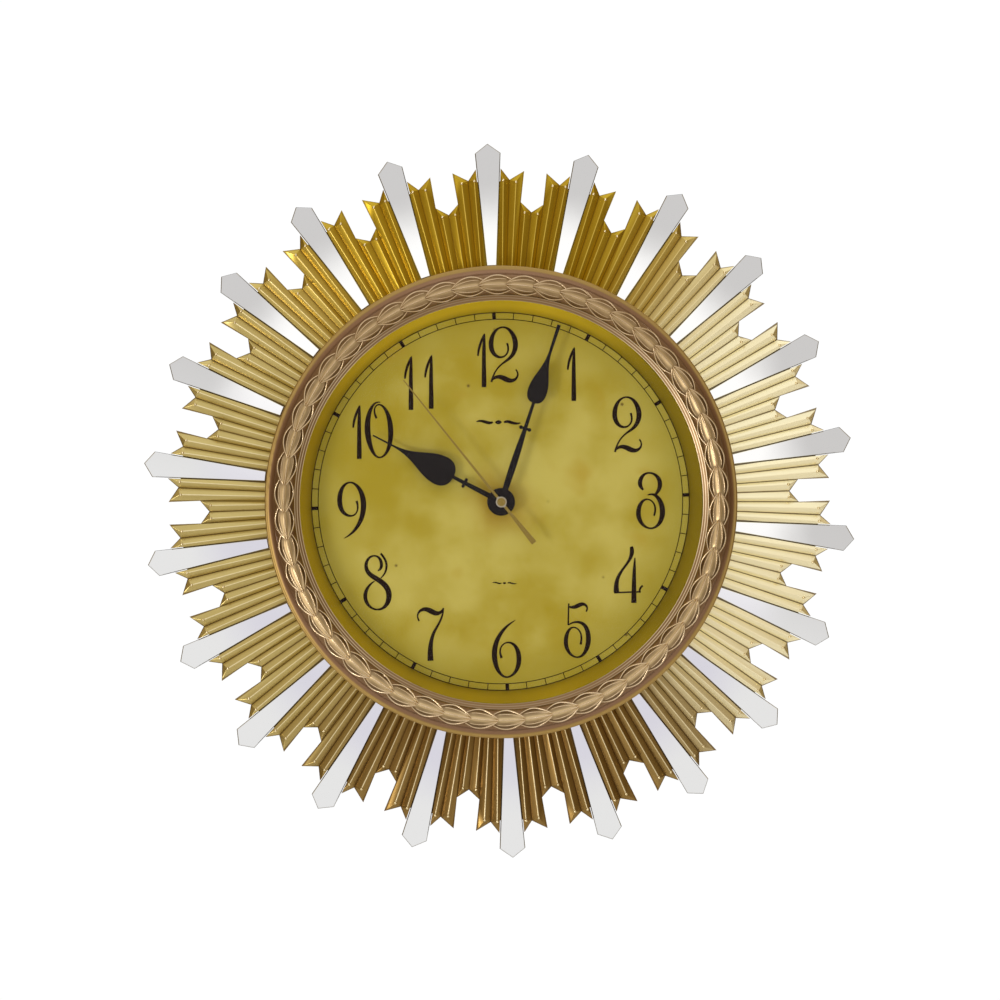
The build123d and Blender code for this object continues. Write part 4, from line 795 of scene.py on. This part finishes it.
# %% Numerals
INK_LIFT = 0.05 * MM
INK_PRESS = 0.09
PEN_WEIGHT = 1.2
numeral_strokes = {
    "1": [
        [(1.0, 16.9, 0.3), (0.6, 13.0, 0.8), (0.1, 5.0, 1.1), (-0.2, -5.0, 1.15), (-0.4, -13.0, 1.4),
         (-0.6, -17.2, 1.3)],
        [(0.7, 16.4, 0.4), (-1.0, 12.6, 0.9), (-3.4, 7.8, 0.75), (-3.7, 2.8, 0.5)],
    ],
    "2": [
        [(2.0, 7.2, 0.6), (3.0, 4.0, 0.55), (2.2, 0.2, 0.45), (-1.2, -2.1, 0.5), (-5.0, -1.4, 0.8),
         (-8.0, 2.2, 1.3), (-8.6, 8.0, 1.45), (-6.4, 14.4, 0.9), (-2.4, 17.6, 0.4), (2.2, 17.4, 0.55),
         (6.0, 13.2, 1.2), (7.8, 7.0, 1.55), (6.6, 1.0, 1.25), (3.0, -3.2, 0.8), (-2.4, -6.0, 0.4),
         (-7.0, -11.0, 0.4), (-8.9, -17.3, 0.6)],
        [(-8.7, -16.2, 0.5), (-6.4, -13.9, 0.8), (-2.6, -13.9, 1.3), (1.0, -16.3, 1.6), (4.6, -17.3, 1.0),
         (8.2, -15.0, 0.5), (8.5, -11.8, 0.4), (6.9, -9.8, 0.45)],
    ],
    "3": [
        [(-4.6, 7.0, 0.5), (-6.8, 9.0, 1.2), (-6.8, 13.2, 1.35), (-4.2, 17.0, 0.7), (0.0, 18.2, 0.4),
         (4.4, 16.0, 0.9), (6.8, 11.2, 1.4), (5.6, 6.4, 1.1), (3.2, 4.0, 0.7)],
        [(-2.0, 3.6, 0.35), (1.2, 4.6, 0.6), (4.6, 2.4, 1.1), (7.0, -3.0, 1.45), (7.4, -9.0, 1.6),
         (5.2, -15.2, 1.0), (0.6, -18.4, 0.4), (-4.6, -17.0, 0.6), (-8.2, -12.0, 1.3), (-8.6, -6.0, 1.4),
         (-6.4, -0.8, 0.9), (-3.2, 1.4, 0.45), (0.6, 0.2, 0.4), (2.8, -3.6, 0.5), (2.6, -7.0, 0.6),
         (1.6, -9.8, 0.55)],
    ],
    "4": [
        [(2.9, 19.2, 0.9), (3.6, 16.6, 1.4), (2.6, 12.2, 0.9), (-0.6, 7.8, 0.6), (-5.2, 2.4, 0.75),
         (-7.9, -3.4, 1.2), (-7.6, -9.6, 1.6)],
        [(-9.0, -9.8, 0.5), (-3.0, -9.8, 0.45), (3.0, -9.8, 0.45), (8.0, -9.9, 0.5)],
        [(7.2, -9.8, 0.5), (7.2, -7.4, 0.55), (9.4, -6.0, 0.5)],
        [(5.0, 12.0, 0.3), (4.4, 6.0, 0.9), (3.9, -2.0, 1.15), (3.6, -9.8, 1.35), (3.3, -16.8, 1.5)],
    ],
    "5": [
        [(-5.1, 17.2, 0.45), (-5.6, 10.0, 0.42), (-5.9, 3.4, 0.5)],
        [(-4.8, 15.0, 0.5), (-1.8, 14.2, 1.1), (1.6, 16.2, 1.3), (5.0, 17.0, 0.8), (7.4, 14.0, 0.4),
         (5.8, 11.6, 0.5)],
        [(-5.9, 3.4, 0.35), (-3.2, 5.2, 0.5), (1.2, 5.6, 0.7), (5.4, 2.8, 1.1), (7.0, -3.4, 1.4),
         (6.4, -10.2, 1.4), (3.4, -16.2, 0.8), (-1.0, -18.0, 0.35), (-5.4, -15.6, 0.7), (-8.2, -10.0, 1.25),
         (-7.6, -3.4, 1.2), (-5.2, 1.4, 0.6), (-2.0, 2.2, 0.38), (1.2, 0.2, 0.42), (2.8, -4.0, 0.5),
         (1.6, -9.3, 0.65)],
    ],
    "6": [
        [(6.4, 18.4, 0.2), (1.6, 15.8, 0.6), (-3.4, 10.8, 1.0), (-7.2, 3.4, 1.4), (-8.2, -5.0, 1.6),
         (-6.4, -13.0, 1.1), (-2.6, -17.8, 0.5), (1.6, -18.0, 0.45), (6.2, -14.2, 1.0), (8.2, -7.4, 1.5),
         (7.4, 0.0, 1.2), (3.8, 4.4, 0.6), (-0.8, 4.6, 0.38), (-4.0, 1.4, 0.4), (-4.4, -2.4, 0.55),
         (-3.2, -5.4, 0.75)],
    ],
    "7": [
        [(-6.6, 8.7, 0.5), (-8.3, 11.8, 0.35), (-6.4, 15.6, 0.6), (-2.0, 16.6, 1.3), (2.0, 14.2, 1.6),
         (5.6, 12.4, 1.2), (8.6, 14.6, 0.6), (9.2, 16.5, 0.5)],
        [(9.1, 16.5, 0.4), (8.8, 12.2, 0.5), (5.6, 5.8, 0.6), (2.2, 1.2, 0.8), (0.2, -5.4, 1.15),
         (-0.4, -11.4, 1.5), (-0.3, -16.9, 1.7)],
    ],
    "8": [
        [(0.8, 7.2, 0.3), (3.0, 8.0, 0.8), (3.8, 11.4, 1.0), (2.4, 15.8, 0.7), (-1.2, 17.4, 0.4),
         (-5.0, 15.6, 0.7), (-7.0, 11.0, 1.0), (-5.6, 6.0, 1.2), (-1.2, 2.8, 1.4), (4.0, -0.4, 1.5),
         (7.8, -5.6, 1.6), (7.4, -12.2, 1.45), (4.2, -16.8, 0.8), (-0.6, -18.0, 0.4), (-5.4, -15.8, 0.7),
         (-8.2, -10.4, 1.2), (-7.2, -4.6, 1.0), (-4.2, -0.9, 0.5), (-1.4, 0.7, 0.35)],
        [(2.6, 2.5, 0.3), (5.2, 4.6, 0.5), (7.2, 9.2, 0.65), (6.4, 14.2, 0.65), (3.1, 18.2, 0.6)],
    ],
    "9": [
        [(4.0, 4.9, 0.7), (5.0, 1.8, 0.5), (4.4, -2.6, 0.4), (1.2, -5.0, 0.45), (-3.4, -4.0, 0.8),
         (-6.6, 0.4, 1.35), (-7.0, 7.4, 1.5), (-5.0, 14.0, 0.95), (-1.2, 17.2, 0.45), (3.0, 16.6, 0.55),
         (7.0, 11.8, 1.25), (8.8, 4.2, 1.6), (7.8, -4.2, 1.4), (4.6, -11.4, 1.0), (-0.6, -16.8, 0.55),
         (-4.8, -18.6, 0.2)],
    ],
    "0": [
        [(1.0, 17.8, 0.3), (-2.0, 18.4, 0.45), (-5.4, 14.4, 0.9), (-7.6, 7.0, 1.5), (-8.0, -1.6, 1.75),
         (-6.6, -9.8, 1.3), (-4.0, -16.0, 0.7), (-0.6, -18.0, 0.35), (3.4, -15.8, 0.7), (6.4, -9.0, 1.2),
         (7.2, -0.4, 1.6), (6.4, 8.2, 1.3), (3.6, 14.6, 0.7), (0.4, 16.9, 0.45), (-2.8, 15.4, 0.38),
         (-3.4, 11.6, 0.5), (-1.8, 7.6, 0.65)],
    ],
}
numeral_places = [
    ("1", -7.4, 90.4), ("2", 5.7, 93.6), ("1", 49.5, 79.6), ("2", 82.9, 46.3), ("3", 95.9, -2.8),
    ("4", 79.4, -50.9), ("5", 46.2, -83.7), ("6", 0.3, -94.3), ("7", -48.0, -82.9), ("8", -80.7, -48.4),
    ("9", -95.7, -1.1), ("1", -88.4, 47.6), ("0", -75.3, 48.2), ("1", -54.4, 77.6), ("1", -41.5, 77.9),
]


def pen_lines(strokes, x, z):
    """Places pen strokes on the dial, round a middle given in millimetres."""
    return [
        [
            (Vector(((x + u) * MM, -paper_front - INK_LIFT, (z + v) * MM)), half * PEN_WEIGHT * MM)
            for u, v, half in stroke
        ]
        for stroke in strokes
    ]


def print_lines(name, lines):
    """Draws pen lines as one piece of ink, pressed to a small share of its height."""
    drawn_bars(name, lines, ink, sides=3, smooth=6, flatten=(-paper_front - INK_LIFT, INK_PRESS))


numeral_lines = []
for numeral, x, z in numeral_places:
    numeral_lines += pen_lines(numeral_strokes[numeral], x, z)
ink = dial_ink()
print_lines("dial_numerals", numeral_lines)

# %% [markdown]
# ## Two small ornaments
# Above and below the centre the printer set a small flourish: two tapering strokes on either side of a
# lozenge. They are drawn with the same pen.

# %% Flourishes
flourish = [
    [(-14.0, 0.8, 0.3), (-10.0, 2.6, 0.9), (-6.0, -1.8, 1.1), (-3.6, 0.4, 0.5)],
    [(14.0, -0.8, 0.3), (10.0, -2.6, 0.9), (6.0, 1.8, 1.1), (3.6, -0.4, 0.5)],
    [(-2.2, 0.0, 0.1), (-0.6, 0.0, 1.5), (0.6, 0.0, 1.5), (2.2, 0.0, 0.1)],
]
SMALL_SIZE = 0.55
SMALL_PEN = 0.5
ABOVE_CENTRE = (0.4, 50.6)
BELOW_CENTRE = (0.6, -52.0)
small_flourish = [
    [(u * SMALL_SIZE, v * SMALL_SIZE, half * SMALL_PEN) for u, v, half in stroke] for stroke in flourish
]
print_lines("dial_flourishes", pen_lines(flourish, *ABOVE_CENTRE) + pen_lines(small_flourish, *BELOW_CENTRE))

# %% [markdown]
# ## The minute track
# Two fine rings with a line across them at every minute and a solid block at every fifth one. A ring is a
# washer: two circles bridged into a flat band and given its thickness. A line is a thin box, turned round.

# %% Minute track
TRACK_INNER = 116.2 * MM
TRACK_OUTER = 120.35 * MM
LINE_WIDTH = 0.52 * MM
INK_THICKNESS = 0.08 * MM
LINE_THICKNESS = INK_THICKNESS * 1.3
BLOCK_WIDTH = 2.3 * MM
BLOCK_OVERHANG = 0.4 * MM


def flat_ring(bm, inner, outer, back, thickness, segments=180):
    """Adds a flat washer round the clock's axis."""
    rims = []
    for radius in (inner, outer):
        circle = bmesh.ops.create_circle(bm, cap_ends=False, segments=segments, radius=radius)
        for vertex in circle["verts"]:
            vertex.co = Vector((vertex.co.x, -back, vertex.co.y))
        rims += list({edge for vertex in circle["verts"] for edge in vertex.link_edges})
    band = bmesh.ops.bridge_loops(bm, edges=rims)["faces"]
    raised = bmesh.ops.extrude_face_region(bm, geom=band)["geom"]
    lifted = [item for item in raised if isinstance(item, bmesh.types.BMVert)]
    bmesh.ops.translate(bm, verts=lifted, vec=(0, -thickness, 0))


def block_at(bm, radius, clock_angle, width, length, thickness, back):
    """Adds a thin box whose long side points away from the axis."""
    made = bmesh.ops.create_cube(bm, size=1.0)["verts"]
    turn = math.radians(clock_angle)
    for vertex in made:
        u, v, w = vertex.co.x * width, vertex.co.y * thickness, radius + vertex.co.z * length
        x = u * math.cos(turn) + w * math.sin(turn)
        z = w * math.cos(turn) - u * math.sin(turn)
        vertex.co = Vector((x, -back - thickness / 2 + v, z))


track = bmesh.new()
for radius in (TRACK_INNER, TRACK_OUTER):
    flat_ring(track, radius - LINE_WIDTH / 2, radius + LINE_WIDTH / 2, paper_front, INK_THICKNESS)
track_middle = (TRACK_INNER + TRACK_OUTER) / 2
track_width = TRACK_OUTER - TRACK_INNER
for minute in range(60):
    fifth = minute % 5 == 0
    width = BLOCK_WIDTH if fifth else LINE_WIDTH
    length = track_width + BLOCK_OVERHANG if fifth else track_width - LINE_WIDTH
    block_at(track, track_middle, minute * 6, width, length, LINE_THICKNESS, paper_front)
bmesh.ops.recalc_face_normals(track, faces=track.faces)
settle(track, "minute_track", ink)

# %% [markdown]
# ## Marks on the back
# The movement's cover carries the moulded signs every battery bay has, a plus and a minus, and a half ring of
# small dashes over the setting knob that shows it turns.

# %% Moulded marks
MARK_RISE = 0.25 * MM
MARK_INSET = 4.0 * MM
MARK_ABOVE_EDGE = 1.9 * MM
MARK_LENGTH = 2.8 * MM
MARK_WIDTH = 0.6 * MM
DASH_COUNT = 9
DASH_PITCH = 22.5
DASH_REACH = 5.8 * MM
DASH_LENGTH = 1.3 * MM
DASH_WIDTH = 0.4 * MM
cover_low, cover_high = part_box("movement_cover")
knob_low, knob_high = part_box("setting_knob")
knob_middle = (knob_low + knob_high) / 2
mark_height = cover_low.z + MARK_ABOVE_EDGE
marks = bmesh.new()


def raised_bar(x, z, width, height, turn=0.0):
    """Adds a thin bar on the movement cover's back, turned in its plane."""
    for vertex in bmesh.ops.create_cube(marks, size=1.0)["verts"]:
        u, w = vertex.co.x * width, vertex.co.z * height
        vertex.co = Vector((
            x + u * math.cos(turn) - w * math.sin(turn), cover_high.y + vertex.co.y * 2 * MARK_RISE,
            z + u * math.sin(turn) + w * math.cos(turn),
        ))


raised_bar(cover_high.x - MARK_INSET, mark_height, MARK_LENGTH, MARK_WIDTH)
raised_bar(cover_high.x - MARK_INSET, mark_height, MARK_WIDTH, MARK_LENGTH)
raised_bar(cover_low.x + MARK_INSET, mark_height, MARK_LENGTH, MARK_WIDTH)
for dash in range(DASH_COUNT):
    turn = math.radians(dash * DASH_PITCH)
    raised_bar(
        knob_middle.x + DASH_REACH * math.cos(turn), knob_middle.z + DASH_REACH * math.sin(turn),
        DASH_LENGTH, DASH_WIDTH, turn,
    )
settle(marks, "cover_marks", finishes["movement_plastic"])

# %% [markdown]
# ## Light
# The clock wants a soft room: bright and white above and below, dimmer and warmer to the sides, so that pleats
# that run up and down stay deep gold and those that run sideways turn pale. The world's brightness is worked
# out from the direction alone. One soft lamp at the left gives the hands their shadow, and one behind lights
# the back. Whoever looks past the clock sees plain white.

# %% World
ROOM_GLOW = 0.24
FRONT_GLOW = 0.80
POLE_GLOW = 0.92
SKY_GLOW = 0.06
BACKDROP_GLOW = 1.02
world = bpy.data.worlds.new("studio")
bpy.context.scene.world = world
world.use_nodes = True
sky = world.node_tree
sky.nodes.clear()
direction = sky.nodes.new("ShaderNodeTexCoord")
split = sky.nodes.new("ShaderNodeSeparateXYZ")
sky.links.new(direction.outputs["Generated"], split.inputs[0])
side, ahead, up = [Wire(sky, split.outputs[n]) for n in range(3)]
front_light = ahead.step("MAXIMUM", ahead * -1.0, 0.0)
front_glow = front_light * front_light * front_light * FRONT_GLOW
glow = ROOM_GLOW + front_glow + up * up * POLE_GLOW + up * SKY_GLOW
warmth = sky.nodes.new("ShaderNodeMix")
warmth.data_type = "RGBA"
plug(sky, warmth.inputs[0], side * side)
plug(sky, warmth.inputs[6], (1.0, 0.99, 0.97))
plug(sky, warmth.inputs[7], (1.0, 0.70, 0.26))
room = sky.nodes.new("ShaderNodeBackground")
sky.links.new(warmth.outputs[2], room.inputs["Color"])
plug(sky, room.inputs["Strength"], glow)
plain = sky.nodes.new("ShaderNodeBackground")
plug(sky, plain.inputs["Color"], (1.0, 1.0, 1.0))
plug(sky, plain.inputs["Strength"], BACKDROP_GLOW)
seen = sky.nodes.new("ShaderNodeLightPath")
choice = sky.nodes.new("ShaderNodeMixShader")
sky.links.new(seen.outputs["Is Camera Ray"], choice.inputs[0])
sky.links.new(room.outputs[0], choice.inputs[1])
sky.links.new(plain.outputs[0], choice.inputs[2])
ending = sky.nodes.new("ShaderNodeOutputWorld")
sky.links.new(choice.outputs[0], ending.inputs[0])


# %% Lamps and floor
def soft_lamp(name, place, target, size, watts, tint=(1.0, 1.0, 1.0)):
    data = bpy.data.lights.new(name, "AREA")
    data.shape = "DISK"
    data.size = size
    data.energy = watts
    data.color = tint
    lamp = bpy.data.objects.new(name, data)
    bpy.context.scene.collection.objects.link(lamp)
    lamp.location = place
    lamp.rotation_mode = "QUATERNION"
    lamp.rotation_quaternion = (Vector(target) - Vector(place)).to_track_quat("-Z", "Y")


soft_lamp("window", (-1.5, -1.9, -0.45), (0, 0, 0), 0.55, 13.0, (1.0, 0.98, 0.95))
soft_lamp("back_fill", (1.0, 2.2, 1.6), (0, 0, 0), 1.6, 40.0)

FLOOR_HALF = 1.15
FLOOR_PLACE = (0, -0.1, -0.52)
floor_mesh = bmesh.new()
bmesh.ops.create_grid(floor_mesh, x_segments=2, y_segments=2, size=FLOOR_HALF)
bmesh.ops.translate(floor_mesh, verts=floor_mesh.verts, vec=FLOOR_PLACE)
floor_data = bpy.data.meshes.new("floor")
floor_mesh.to_mesh(floor_data)
floor_mesh.free()
floor = bpy.data.objects.new("floor", floor_data)
bpy.context.scene.collection.objects.link(floor)
pale = Finish("pale_floor", Base_Color=(0.82, 0.82, 0.81), Roughness=0.7)
floor_data.materials.append(pale.material)
floor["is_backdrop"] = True

# %% [markdown]
# ## The camera
# The clock is seen from the front, from about 2.6 metres, by someone standing a hand's width to the left of its
# axis and slightly above it. The picture is tipped by two degrees.

# %% Camera
CAMERA_DISTANCE = 2.62
VIEW_WIDTH = 0.6403
LEFT_ANGLE = 1.7
HIGH_ANGLE = 1.1
TIP_ANGLE = 2.05
SENSOR = 36.0
AIM = Vector((0.0, -0.0205, 0.0008))
left, high = math.radians(LEFT_ANGLE), math.radians(HIGH_ANGLE)
back_to_eye = Vector((-math.sin(left) * math.cos(high), -math.cos(left) * math.cos(high), math.sin(high)))
camera_data = bpy.data.cameras.new("camera")
camera_data.sensor_width = SENSOR
camera_data.lens = SENSOR * CAMERA_DISTANCE / VIEW_WIDTH
camera = bpy.data.objects.new("camera", camera_data)
bpy.context.scene.collection.objects.link(camera)
camera.location = AIM + back_to_eye * CAMERA_DISTANCE
camera.rotation_mode = "QUATERNION"
level = (-back_to_eye).to_track_quat("-Z", "Y")
camera.rotation_quaternion = level @ Quaternion((0, 0, 1), math.radians(-TIP_ANGLE))
bpy.context.scene.camera = camera
bpy.context.scene.view_settings.view_transform = "Standard"

# %% [markdown]
# ## The size
# The box round the visible clock is printed. The visible clock has to stay inside the box of
# the CAD model.

# %% Sizes and finish
low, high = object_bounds()
print("visual from", [round(v, 4) for v in low], "to", [round(v, 4) for v in high])
